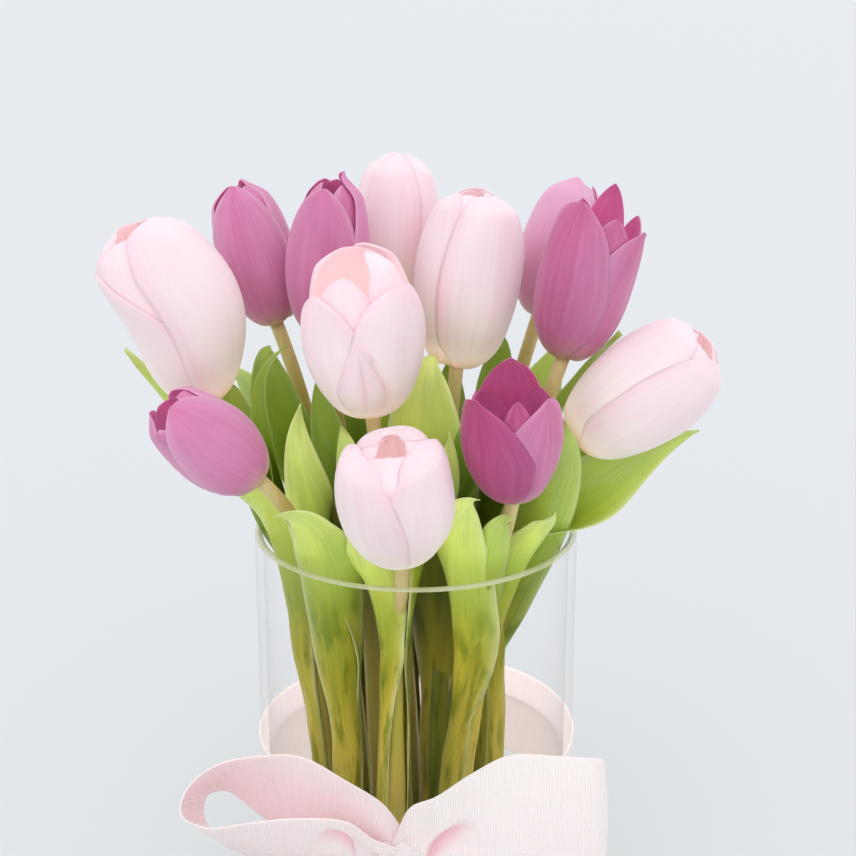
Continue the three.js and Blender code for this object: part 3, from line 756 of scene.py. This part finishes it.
def water_shape():
    """The water reaches a hair into the glass, so that no air shows between them, and creeps up
    the wall a little at its edge."""
    radius = VASE_RADIUS - WALL + WATER_OVERLAP
    low = BASE - WATER_OVERLAP
    outline = [(radius - FLAT_FROM_WALL, low)]
    outline += corner(radius - INNER_CORNER, low + INNER_CORNER, INNER_CORNER, -90)
    outline += [(radius, height) for height in np.linspace(20, WATER_LEVEL - 6, 5)]
    outline += [(radius, WATER_LEVEL)]
    edge = np.array([0.15, 0.5, 1.0, 1.8, 3.0, 5.0])
    outline += [(radius - away, WATER_LEVEL - MENISCUS * (1 - math.exp(-away / 1.2)))
                for away in edge]
    return turned_shape(outline)


def run_along(grid):
    """Millimetres along the middle of a ribbon at each of its rows."""
    middle = grid[:, grid.shape[1] // 2]
    return np.concatenate([[0], np.cumsum(np.linalg.norm(np.diff(middle, axis=0), axis=1))])


def ribbon_shape(grid, stand, ring=False):
    """A ribbon along a grid of points, whose normals point to its inner face. The mark "stand"
    is how far its folds stand inwards."""
    shape = Shape("run", "across", "front", "stand")
    side = np.linspace(-1, 1, grid.shape[1])
    side, run = np.meshgrid(side, run_along(grid))
    add_sheet(shape, grid, RIBBON_THICKNESS, ring, run=run, across=side, stand=stand)
    return shape


def pleats(u, gather, count, depth, phase):
    """How far folds across a ribbon stand out, deepest where it is gathered."""
    return depth * gather * np.sin(count * math.pi * u + phase)


def band_rows():
    """The ribbon round the vase, from the knot at the front, where it narrows and pleats. Each
    row is its points and how far its folds stand inwards."""
    u = np.linspace(-1, 1, 25)
    for angle in np.linspace(1.5 * math.pi, -0.5 * math.pi, 360, endpoint=False):
        from_front = math.acos(max(-1, min(1, -math.sin(angle))))
        gather = smooth(1 - from_front / 0.8)
        half = (RIBBON_WIDTH - BAND_GATHER * gather) / 2
        middle = BAND_MIDDLE + (KNOT_Z - BAND_MIDDLE) * gather
        stand = pleats(u, smooth(1 - from_front / 0.5), 3.5, 0.4, 1)
        out = VASE_RADIUS + RIBBON_CLEAR + 0.15 * np.sin(3 * angle) * np.cos(2 * u)
        out = out + 0.4 * gather + stand
        height = middle + half * u + 0.5 * math.sin(2 * angle)
        yield np.stack([out * math.cos(angle), out * math.sin(angle), height], -1), -stand


def hollow(t, u, place, side, long, wide, depth):
    """A fold that tucks in along an arc, most on the knot's side, and comes slowly out again
    below it."""
    rise = (u - side) / wide
    run = (t - place) / long
    away = np.hypot(run, rise)
    tucked = smooth((1 - away) / 0.3) * (1 - 0.8 * smooth((0.8 - away) / 0.8))
    nearer = smooth((run * math.copysign(1, place - 0.5) + 1) / 1.3)
    return depth * tucked * nearer * smooth((rise + 0.4) / 0.7)


def loop_rows(top, bottom, hollows):
    """A loop of the bow between its two edges. It is pleated at the knot, and the pleats run out
    as it widens."""
    u = np.linspace(-1, 1, 49)
    for t in np.linspace(0, 1, 240):
        high = spline(top, t)
        low = spline(bottom, t)
        ahead = spline(top, min(1, t + 0.01)) + spline(bottom, min(1, t + 0.01))
        behind = spline(top, max(0, t - 0.01)) + spline(bottom, max(0, t - 0.01))
        inwards = unit(np.cross(ahead - behind, high - low))
        reach = min(t, 1 - t)
        stand = pleats(u, smooth(1 - reach / 0.16) * smooth(reach / 0.03), 2.6, 0.9, 1)
        stand = stand + pleats(u, smooth(1 - reach / 0.3) * smooth(reach / 0.05), 1.3, 1.2, 0.6)
        for place in hollows:
            stand = stand + hollow(t, u, *place)
        bend = 1.2 * (1 - u * u) * math.sin(math.pi * t) ** 2
        middle = (high + low) / 2 + np.outer(u, (high - low) / 2)
        yield middle + np.outer(stand - bend, inwards), stand


def tail_rows(points, fold):
    """A hanging end of the ribbon, from points relative to the knot, with a notched end."""
    u = np.linspace(1, -1, 29)
    for t in np.linspace(0, 1, 90):
        line = spline([(KNOT_X + x, KNOT_Y + y, KNOT_Z + z) for x, y, z in points], t)
        half = TAIL_ROOT + (RIBBON_WIDTH / 2 - TAIL_ROOT) * smooth(t / 0.6)
        stand = pleats(u, smooth(1 - t / 0.6), 3, 0.7, fold)
        forward = stand - 2 * (1 - u * u) * (1 - t) + 0.8 * math.sin(3 * t + fold) * u
        notch = -TAIL_NOTCH * np.abs(u) * max(0, (t - 0.8) / 0.2)
        yield np.stack([line[0] + half * u, line[1] + forward, line[2] + notch], -1), stand


def knot_rows():
    """The ribbon wound over the middle of the bow, in soft folds that run round it."""
    u = np.linspace(-1, 1, 49)
    for turn in np.linspace(2 * math.pi, 0, 96, endpoint=False):
        fold = 0.5 * np.sin(2.6 * math.pi * u + 0.7 + 0.6 * math.sin(turn))
        fold = fold + 0.2 * np.sin(8 * u + turn)
        size = 1 - 0.22 * np.abs(u) ** 3
        y = KNOT_Y + (0.5 * KNOT_DEPTH * size - KNOT_INSET + fold * 0.6) * math.cos(turn)
        z = KNOT_Z + (0.5 * KNOT_HEIGHT * size - KNOT_INSET + fold * 0.6) * math.sin(turn)
        yield np.stack([KNOT_X + u * KNOT_WIDTH / 2, y, z], -1), -fold


# Edges of the bow's loops, each from the knot round to the knot again
LEFT_LOOP_TOP = [
    (-2, -68, 82), (-14, -72, 90), (-24, -78, 101), (-41, -80, 103), (-58, -75, 98),
    (-74, -65, 90), (-84, -58, 91), (-83, -55, 98), (-72, -55, 109), (-54, -60, 116),
    (-40, -66, 119), (-24, -71, 112), (-12, -69, 102), (-7, -67, 94), (-2, -66, 83),
]
LEFT_LOOP_BOTTOM = [
    (-2, -67, 72), (-13, -63, 66), (-24, -60, 70), (-41, -57, 71), (-56, -49, 68),
    (-70, -36, 64), (-80, -28, 72), (-79, -26, 80), (-72, -27, 83), (-57, -40, 80),
    (-43, -53, 79), (-27, -57, 75), (-14, -62, 72), (-8, -64, 71), (-2, -66, 73),
]
RIGHT_LOOP_TOP = [
    (-9, -66, 82), (-4, -65, 92), (7, -64, 96), (23, -61, 104), (46, -57, 110),
    (62, -60, 113), (66, -65, 117), (63, -69, 120), (50, -71, 122), (33, -72, 123),
    (20, -72, 116), (7, -71, 106), (-1, -70, 102), (-5, -68, 94), (-9, -68, 83),
]
RIGHT_LOOP_BOTTOM = [
    (-9, -66, 74), (-3, -64, 70), (9, -62, 69), (23, -61, 70), (47, -58, 72),
    (63, -64, 74), (67, -70, 78), (64, -74, 81), (51, -76, 83), (33, -76, 83),
    (20, -74, 78), (9, -70, 70), (0, -67, 66), (-4, -66, 69), (-9, -67, 71),
]
# Hollows: place along the loop and across it, length, width and depth
LEFT_HOLLOWS = [(0.164, -0.4, 0.045, 1.0, 3)]
RIGHT_HOLLOWS = [(0.76, -0.5, 0.08, 0.75, 4)]
# Middle lines of the hanging ends, from the knot's middle
LEFT_TAIL = [(-3, 0, -6), (-8, -4, -16), (-19, -2, -42), (-27, -3, -66)]
RIGHT_TAIL = [(4, 0, -6), (11, -5, -17), (21, -3, -40), (32, -4, -64)]


def tie_ribbon():
    """The band, the two loops, the knot and the two ends."""
    # Emission paints a glow on both, strongest on the band's inner face, which shows through the glass.
    bow = ribbon_finish("grosgrain", (1.0, 0.70, 0.73), 0.09, 0.7)
    band = ribbon_finish("grosgrain_band", (1.0, 0.90, 0.90), 0.55, 0.05)
    left = loop_rows(LEFT_LOOP_TOP, LEFT_LOOP_BOTTOM, LEFT_HOLLOWS)
    right = loop_rows(RIGHT_LOOP_TOP, RIGHT_LOOP_BOTTOM, RIGHT_HOLLOWS)
    parts = {
        "ribbon_round_vase": (band_rows(), True, "ribbon_band", "stretched"),
        "bow_left_loop": (left, False, "ribbon_bow", "gathered"),
        "bow_right_loop": (right, False, "ribbon_bow", "gathered"),
        "bow_knot": (knot_rows(), True, "ribbon_bow", "gathered"),
        "bow_left_end": (tail_rows(LEFT_TAIL, 1), False, "ribbon_bow", "hung"),
        "bow_right_end": (tail_rows(RIGHT_TAIL, 2.6), False, "ribbon_bow", "hung"),
    }
    for name, (rows, ring, node, held) in parts.items():
        grid, stand = (np.array(each) for each in zip(*rows))
        finish = band if node == "ribbon_band" else bow
        made = piece(name, ribbon_shape(grid, stand, ring), finish, "ribbon", node)
        length = run_along(grid)[-1]
        width = KNOT_GATHERED if name == "bow_knot" else RIBBON_WIDTH
        rests = "vase" if node == "ribbon_band" else "ribbon_round_vase"
        width * MM


class Socket:
    """An output of a shader node. Arithmetic on it adds Math nodes."""

    def __init__(self, finish, output):
        self.finish = finish
        self.output = output

    def math(self, operation, first, second=0.0):
        return self.finish.node("Math", {"operation": operation}, {0: first, 1: second})

    def __add__(self, other):
        return self.math("ADD", self, other)

    def __radd__(self, other):
        return self.math("ADD", other, self)

    def __sub__(self, other):
        return self.math("SUBTRACT", self, other)

    def __rsub__(self, other):
        return self.math("SUBTRACT", other, self)

    def __mul__(self, other):
        if isinstance(other, tuple):
            return self.finish.node("VectorMath", {"operation": "MULTIPLY"}, {0: self, 1: other})
        return self.math("MULTIPLY", self, other)

    def __rmul__(self, other):
        return self.math("MULTIPLY", other, self)

    def __truediv__(self, other):
        return self.math("DIVIDE", self, other)

    def __pow__(self, other):
        return self.math("POWER", self, other)

    def __abs__(self):
        return self.math("ABSOLUTE", self)

    def sine(self):
        return self.math("SINE", self)

    def between(self, low, high):
        """0 up to low, 1 from high on, and smooth in between."""
        return self.finish.node("MapRange", {"interpolation_type": "SMOOTHSTEP"},
                                {0: self, 1: low, 2: high})


class Finish:
    """A node material in the making, around one Principled surface."""

    def __init__(self, name):
        self.material = bpy.data.materials.new(name)
        self.material.use_nodes = True
        self.tree = self.material.node_tree
        self.tree.nodes.clear()
        self.marks = {}

    def node(self, kind, settings=None, sockets=None, output=0):
        """A shader node with its settings made first, then its sockets given or linked."""
        made = self.tree.nodes.new("ShaderNode" + kind)
        for name, value in (settings or {}).items():
            if name == "stops":
                set_stops(made.color_ramp, value)
            else:
                setattr(made, name, value)
        for name, value in (sockets or {}).items():
            if isinstance(value, Socket):
                self.tree.links.new(value.output, made.inputs[name])
            else:
                made.inputs[name].default_value = value
        return Socket(self, made.outputs[output]) if made.outputs else None

    def mark(self, name):
        """A mark of the shape, from one node however often it is read."""
        if name not in self.marks:
            self.marks[name] = self.node("Attribute", {"attribute_name": name}, output="Fac")
        return self.marks[name]

    def place(self):
        """The point on the surface, in metres."""
        return self.node("TexCoord", output="Object")

    def ramp(self, value, *stops):
        return self.node("ValToRGB", {"stops": stops}, {0: value})

    def noise(self, vector, scale, detail=2.0, roughness=0.5):
        return self.node("TexNoise", {}, {"Vector": vector, "Scale": scale, "Detail": detail,
                                          "Roughness": roughness})

    def vector(self, x, y, z):
        return self.node("CombineXYZ", {}, {0: x, 1: y, 2: z})

    def grain(self, across, along, detail=2.0, roughness=0.5, seed=30):
        """Patches across and along a petal or a leaf, which differ from one to the next."""
        place = self.vector(self.mark("across") * across, self.mark("along") * along,
                            self.mark("tone") * seed)
        return self.noise(place, 1.0, detail, roughness)

    def mix(self, share, first, second, blend="MIX"):
        """The colour from first, at share 0, to second, at share 1."""
        first, second = (colour if isinstance(colour, Socket) else (*colour, 1)
                         for colour in (first, second))
        return self.node("Mix", {"data_type": "RGBA", "blend_type": blend},
                         {0: share, 6: first, 7: second}, output=2)

    def tint(self, share, colour, shade):
        """The colour as if seen through a shade, as far as the share says."""
        return self.mix(share, colour, shade, "MULTIPLY")

    def bump(self, height, strength, distance):
        return self.node("Bump", {}, {"Height": height, "Strength": strength,
                                      "Distance": distance})

    def surface(self, sockets):
        shader = self.node("BsdfPrincipled", {}, sockets)
        self.node("OutputMaterial", {}, {"Surface": shader})
        return self.material


def set_stops(ramp, stops):
    """Gives a colour ramp its stops, each a place and a colour."""
    while len(ramp.elements) < len(stops):
        ramp.elements.new(1)
    for element, (position, colour) in zip(ramp.elements, stops):
        element.position = position
        element.color = (*colour, 1)


def petal_finish(name, stops, margin, deep, lip, shade, glow, lit, streaked, veined):
    """Silky petals: coloured along their length, with fine streaks from foot to tip, another
    colour at the margin and two inside, deep down and at the lip. Emission paints a glow in the
    inside colours, as painted light for the light that comes through them: on the inner face and,
    as far as lit says, at the foot. The depth mark is partly the bloom's own deeper colour and
    partly painted shade, and below zero it paints lighter towards the margin colour, as painted
    light."""
    make = Finish(name)
    along, across = make.mark("along"), make.mark("across")
    front, depth = make.mark("front"), make.mark("depth")
    broad = make.grain(2.2, 1.8)
    streaks = make.grain(14, 1.2, 4.0, 0.6)
    fine = make.grain(60, 3)
    colour = make.ramp(along + (broad - 0.5) * 0.2, *stops)
    colour = make.mix(abs(across) ** 4 * along.between(0.15, 0.5) * 0.7, colour, margin)
    inner = make.mix(along.between(0.35, 0.8), deep, lip)
    colour = make.mix(front * along.between(0.1, 0.4) * 0.85, colour, inner)
    deeper = (streaks - 0.4) * streaked + (broad - 0.45) * streaked
    # Partly the bloom's own colour and partly painted light and shade: depth darkens towards the shade
    # colour, and below zero the next line paints lighter towards the margin colour.
    colour = make.tint(deeper + depth, colour, shade)
    colour = make.mix(depth * -1, colour, margin)
    # Painted glow: emission in the inside colours, on the inner face and, as far as lit says, at the foot,
    # standing in for light through the petal.
    foot = 1 - along.between(0.08, 0.32)
    height = streaks * 0.9 + fine * 0.35 + broad * 0.6
    return make.surface({
        "Base Color": colour,
        "Roughness": 0.38 + streaks * 0.2,
        "Normal": make.bump(height, veined, 0.0005),
        "Subsurface Weight": 0.4,
        "Subsurface Radius": (1.0, 0.55, 0.6),
        "Subsurface Scale": 0.002,
        "Sheen Weight": 0.2,
        "Sheen Roughness": 0.4,
        "Specular IOR Level": 0.4,
        "Emission Color": make.mix(front * 0.7 + foot * lit + 0.15, (0, 0, 0), inner),
        "Emission Strength": glow,
    })


def pink_petals():
    """Cream and a little orange at the foot, and palest pink above."""
    return petal_finish(
        "pink_petal",
        [(0.0, (0.95, 0.56, 0.14)), (0.06, (0.97, 0.78, 0.44)), (0.16, (0.98, 0.92, 0.76)),
         (0.34, (0.96, 0.85, 0.78)), (0.6, (0.95, 0.77, 0.80)), (1.0, (0.95, 0.70, 0.76))],
        margin=(0.95, 0.62, 0.70), deep=(0.97, 0.74, 0.68), lip=(0.96, 0.80, 0.84),
        shade=(0.95, 0.70, 0.77), glow=0.2, lit=1.2, streaked=0.6, veined=0.12)


def mauve_petals():
    """Straw at the foot, and a dusky pink purple above."""
    return petal_finish(
        "mauve_petal",
        [(0.0, (0.68, 0.60, 0.24)), (0.06, (0.66, 0.50, 0.28)), (0.13, (0.66, 0.36, 0.38)),
         (0.28, (0.63, 0.23, 0.41)), (0.6, (0.68, 0.26, 0.45)), (1.0, (0.64, 0.20, 0.40))],
        margin=(0.80, 0.44, 0.60), deep=(0.62, 0.07, 0.28), lip=(0.76, 0.24, 0.50),
        shade=(0.60, 0.22, 0.42), glow=0.13, lit=0.0, streaked=0.55, veined=0.22)


def leaf_finish():
    """Leaves: a waxy face with fine veins along it, a greyer back, and pale thin margins. Some
    are painted a deeper green as shade, and the others glow above the rim, painted light for the
    light that comes through them. Points deep in the bunch are painted darker as shade. Their
    feet, under water, are tan and olive in long blotches."""
    make = Finish("leaf")
    along, across = make.mark("along"), make.mark("across")
    deep, bunch_shade_share = make.mark("deep"), make.mark("sunk")
    broad = make.grain(1.6, 4)
    blotches = make.grain(2.5, 9, 3.0, 0.55, seed=50)
    streaks = make.grain(16, 1.5, 4.0, 0.6)
    veins = (across * 55 + broad * 3).sine() * 0.5 + 0.5
    run = (along + (broad - 0.5) * 0.35 + 0.4) / 1.4
    face = make.ramp(run, (0.0, (0.62, 0.50, 0.14)), (0.3, (0.60, 0.46, 0.05)),
                     (0.48, (0.48, 0.41, 0.02)), (0.62, (0.36, 0.42, 0.02)),
                     (0.75, (0.50, 0.64, 0.07)), (1.0, (0.72, 0.82, 0.24)))
    back = make.ramp(run, (0.0, (0.64, 0.52, 0.16)), (0.3, (0.62, 0.50, 0.07)),
                     (0.48, (0.50, 0.44, 0.03)), (0.62, (0.44, 0.50, 0.05)),
                     (0.75, (0.62, 0.74, 0.14)), (1.0, (0.74, 0.84, 0.28)))
    colour = make.mix(make.mark("front"), face, back)
    colour = make.mix(abs(across) ** 8 * 0.8, colour, (0.80, 0.84, 0.44))
    # Painted shade: each leaf's deep value darkens its green.
    colour = make.tint(deep * 0.85, colour, (0.34, 0.50, 0.16))
    dark = (1 - along.between(0.3, 0.6)) * blotches.between(0.45, 0.7)
    colour = make.tint(dark * 0.9, colour, (0.42, 0.55, 0.20))
    # Painted shade deep in the bunch.
    colour = make.tint(bunch_shade_share * 0.6, colour, (0.20, 0.26, 0.08))
    deeper = (streaks - 0.4) * 0.7 + (broad - 0.4) * 1.5
    colour = make.tint(deeper, colour, (0.45, 0.58, 0.35))
    # Painted glow above the rim, standing in for light through the leaf, on leaves that are neither
    # painted darker nor deep in the bunch.
    lit = along.between(0.4, 0.7) * (1 - deep) * (1 - bunch_shade_share)
    return make.surface({
        "Base Color": colour,
        "Roughness": 0.3 + streaks * 0.15,
        "Normal": make.bump(veins * 0.15 + streaks * 0.6 + broad * 1.5, 0.4, 0.0005),
        "Subsurface Weight": 0.15,
        "Subsurface Radius": (0.8, 1.0, 0.2),
        "Subsurface Scale": 0.001,
        "Specular IOR Level": 0.15,
        "Coat Weight": along.between(0.45, 0.7) * 0.5,
        "Coat Roughness": 0.25,
        "Emission Color": make.mix(lit, (0, 0, 0), colour),
        "Emission Strength": 0.16,
    })


def stem_finish():
    """Stems: tan and yellow under water, green above it and paler below the bloom."""
    make = Finish("stem")
    along, wrap = make.mark("along"), make.mark("wrap")
    place = make.place()
    fibres = make.noise(place * (1.0, 1.0, 0.06), 900.0, 3.0)
    broad = make.noise(place * (1.0, 1.0, 0.25), 90.0, 2.0)
    colour = make.ramp(along + (broad - 0.5) * 0.25, (0.0, (0.62, 0.50, 0.20)),
                       (0.25, (0.62, 0.48, 0.10)), (0.45, (0.52, 0.48, 0.06)),
                       (0.6, (0.50, 0.48, 0.08)), (0.85, (0.58, 0.44, 0.14)),
                       (1.0, (0.82, 0.70, 0.36)))
    colour = make.mix(wrap * broad.between(0.4, 0.6) * 0.8, colour, (0.50, 0.50, 0.10))
    colour = make.tint(fibres * 0.6, colour, (0.62, 0.60, 0.35))
    # Painted shade deep in the bunch.
    colour = make.tint(make.mark("sunk") * 0.5, colour, (0.30, 0.30, 0.10))
    return make.surface({
        "Base Color": colour,
        "Roughness": 0.35 + fibres * 0.15,
        "Normal": make.bump(fibres, 0.4, 0.0004),
        "Subsurface Weight": 0.2,
        "Subsurface Radius": (1.0, 0.9, 0.3),
        "Subsurface Scale": 0.001,
    })


def ribbon_finish(name, through, glow, outer):
    """Grosgrain: close ribs across the ribbon, with a plain woven edge. The cloth lets light
    through, and emission paints that as a glow on its inner face and a share of it on its outer
    face. The inner face is painted a deeper pink as shade, and the folds that stand inwards a
    deeper pink still, as painted shade."""
    make = Finish(name)
    run, across = make.mark("run"), make.mark("across")
    front, stand = make.mark("front"), make.mark("stand")
    woven = 1 - abs(across).between(0.93, 0.95)
    ribs = (run * (2 * math.pi / RIB_PITCH)).sine() * 0.5 + 0.5
    threads = (across * (RIBBON_WIDTH * 5)).sine() * 0.5 + 0.5
    uneven = make.noise(make.vector(run * 0.05, across * 1.5, 0.0), 1.0, 3.0)
    colour = make.mix(ribs * woven, (0.96, 0.81, 0.79), (0.98, 0.88, 0.85))
    # Painted shade: the inner face is a deeper pink.
    colour = make.mix(front * 0.8, colour, (0.94, 0.73, 0.77))
    colour = make.tint(uneven * 0.3, colour, (0.96, 0.84, 0.85))
    # Painted shade in the folds that stand inwards.
    deep = ((1 - front * 2) * stand).between(0.3, 3.6)
    colour = make.mix(deep * 0.9, colour, (0.94, 0.50, 0.57))
    height = ribs * woven + threads * 0.25 + uneven * 0.2
    return make.surface({
        "Base Color": colour,
        "Roughness": 0.5 + uneven * 0.1,
        "Normal": make.bump(height, 0.6, 0.0003),
        "Subsurface Weight": 0.6,
        "Subsurface Radius": (1.0, 0.6, 0.6),
        "Subsurface Scale": 0.003,
        "Sheen Weight": 0.3,
        "Sheen Roughness": 0.35,
        # Painted glow for light through the cloth, full on the inner face and a share on the outer.
        "Emission Color": make.mix(front * (1 - outer) + outer, (0, 0, 0), through),
        "Emission Strength": glow,
    })


def clear_finish(name, tint, patches, straight, grazing):
    """A clear surface with faint waves, which only mirrors: little from straight ahead, and much
    at a low angle."""
    make = Finish(name)
    bumpy = make.bump(make.noise(make.place(), patches, 1.0), 0.05, 0.001)
    facing = make.node("LayerWeight", {}, {"Blend": 0.5, "Normal": bumpy}, "Facing")
    clear = make.node("BsdfTransparent", {}, {"Color": tint})
    mirror = make.node("BsdfGlossy", {}, {"Roughness": 0.04, "Normal": bumpy})
    mixed = make.node("MixShader", {}, {0: straight + grazing * facing ** 4, 1: clear, 2: mirror})
    make.node("OutputMaterial", {}, {"Surface": mixed})
    return make.material


def rim_glass():
    """The rim: a mostly opaque pale olive line in darker and paler patches, painted as the light that the
    rim gathers.
    """
    make = Finish("rim_glass")
    patches = make.noise(make.place(), 60.0, 2.0)
    return make.surface({
        "Base Color": make.mix(patches, (0.42, 0.44, 0.20), (0.72, 0.74, 0.52)),
        "Roughness": 0.08,
        "Alpha": 0.8,
        "Coat Weight": 0.5,
    })


def thick_glass():
    """The base, where the glass is thick enough to bend light a little and look green."""
    make = Finish("thick_glass")
    waves = make.noise(make.place(), 25.0, 1.0)
    return make.surface({
        "Base Color": make.mix(waves * 0.4, (0.80, 0.85, 0.62), (0.74, 0.80, 0.55)),
        "Roughness": 0.16,
        "IOR": 1.3,
        "Transmission Weight": 1.0,
        "Alpha": 0.6,
        "Normal": make.bump(waves, 0.05, 0.001),
    })


def studio():
    """A pale floor, soft light all round, and a little more from the front and from behind."""
    mesh = bpy.data.meshes.new("floor")
    far = 8
    low = -0.0004
    mesh.from_pydata([(-far, -far, low), (far, -far, low), (far, far, low), (-far, far, low)],
                     [], [(0, 1, 2, 3)])
    make = Finish("pale_floor")
    mesh.materials.append(make.surface({"Base Color": FLOOR_COLOUR, "Roughness": 0.8}))
    floor = bpy.data.objects.new("floor", mesh)
    bpy.context.scene.collection.objects.link(floor)
    floor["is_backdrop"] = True
    world = bpy.data.worlds.new("studio")
    world.use_nodes = True
    sky = world.node_tree.nodes["Background"]
    sky.inputs["Color"].default_value = (0.97, 0.98, 1.0, 1)
    sky.inputs["Strength"].default_value = 1.0
    bpy.context.scene.world = world
    soft_light("key", (-0.1, -1, 0.9), 0.65, 60)
    soft_light("back", (0.4, 0.7, 1), 0.4, 60)


def soft_light(name, place, strength, spread):
    """Even light from one side, as from a large softbox far off."""
    lamp = bpy.data.lights.new(name, "SUN")
    lamp.energy = strength
    lamp.angle = math.radians(spread)
    made = bpy.data.objects.new(name, lamp)
    made.rotation_euler = (-Vector(place)).to_track_quat("-Z", "Y").to_euler()
    bpy.context.scene.collection.objects.link(made)


def camera():
    """Standing before the bow and looking down a little, as in the photograph."""
    lens = bpy.data.cameras.new("camera")
    lens.sensor_width = 36
    lens.lens = CAMERA_FOCAL / PHOTO_SIZE * lens.sensor_width
    made = bpy.data.objects.new("camera", lens)
    made.location = [value * MM for value in CAMERA_PLACE]
    made.rotation_euler = (math.radians(90 - CAMERA_DOWN), 0, 0)
    bpy.context.scene.collection.objects.link(made)
    bpy.context.scene.camera = made
    bpy.context.scene.view_settings.view_transform = "Standard"


def arrange():
    """The twelve tulips, each with its stem, its leaves and its petals."""
    chance = random.Random(7)
    petals = {"pink": pink_petals(), "mauve": mauve_petals()}
    slots = {"pink": "pale_pink_petal", "mauve": "mauve_petal"}
    leaf, stem = leaf_finish(), stem_finish()
    for name, tulip in TULIPS.items():
        leaves = LEAVES[name]
        node = f"leafy_stem_{name}"
        piece(f"stem_{name}", stem_shape(tulip, leaves), stem, "leaf_green", node)
        piece(f"leaves_{name}", leaves_shape(tulip, leaves, chance), leaf, "leaf_green", node)
        piece(f"petals_{name}", petals_shape(tulip, chance), petals[tulip.kind],
              slots[tulip.kind], f"bloom_{name}")


def main():
    """The camera and the studio, then all the pieces, and the object's size before and after."""
    camera()
    studio()
    wall = clear_finish("clear_glass", (1.0, 1.0, 1.0, 1), 18.0, 0.003, 0.4)
    vase = piece("glass_vase", vase_shape(), wall, "clear_glass", "vase")
    finish_ends(vase, thick_glass(), rim_glass())
    water = clear_finish("water", (0.99, 0.99, 0.95, 1), 40.0, 0.002, 0.25)
    piece("vase_water", water_shape(), water, "water", "water")
    tie_ribbon()
    arrange()
    corners = {"cad": CAD_BOX, "visual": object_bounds()}
    {key: [list(map(float, c)) for c in box] for key, box in corners.items()}


main()
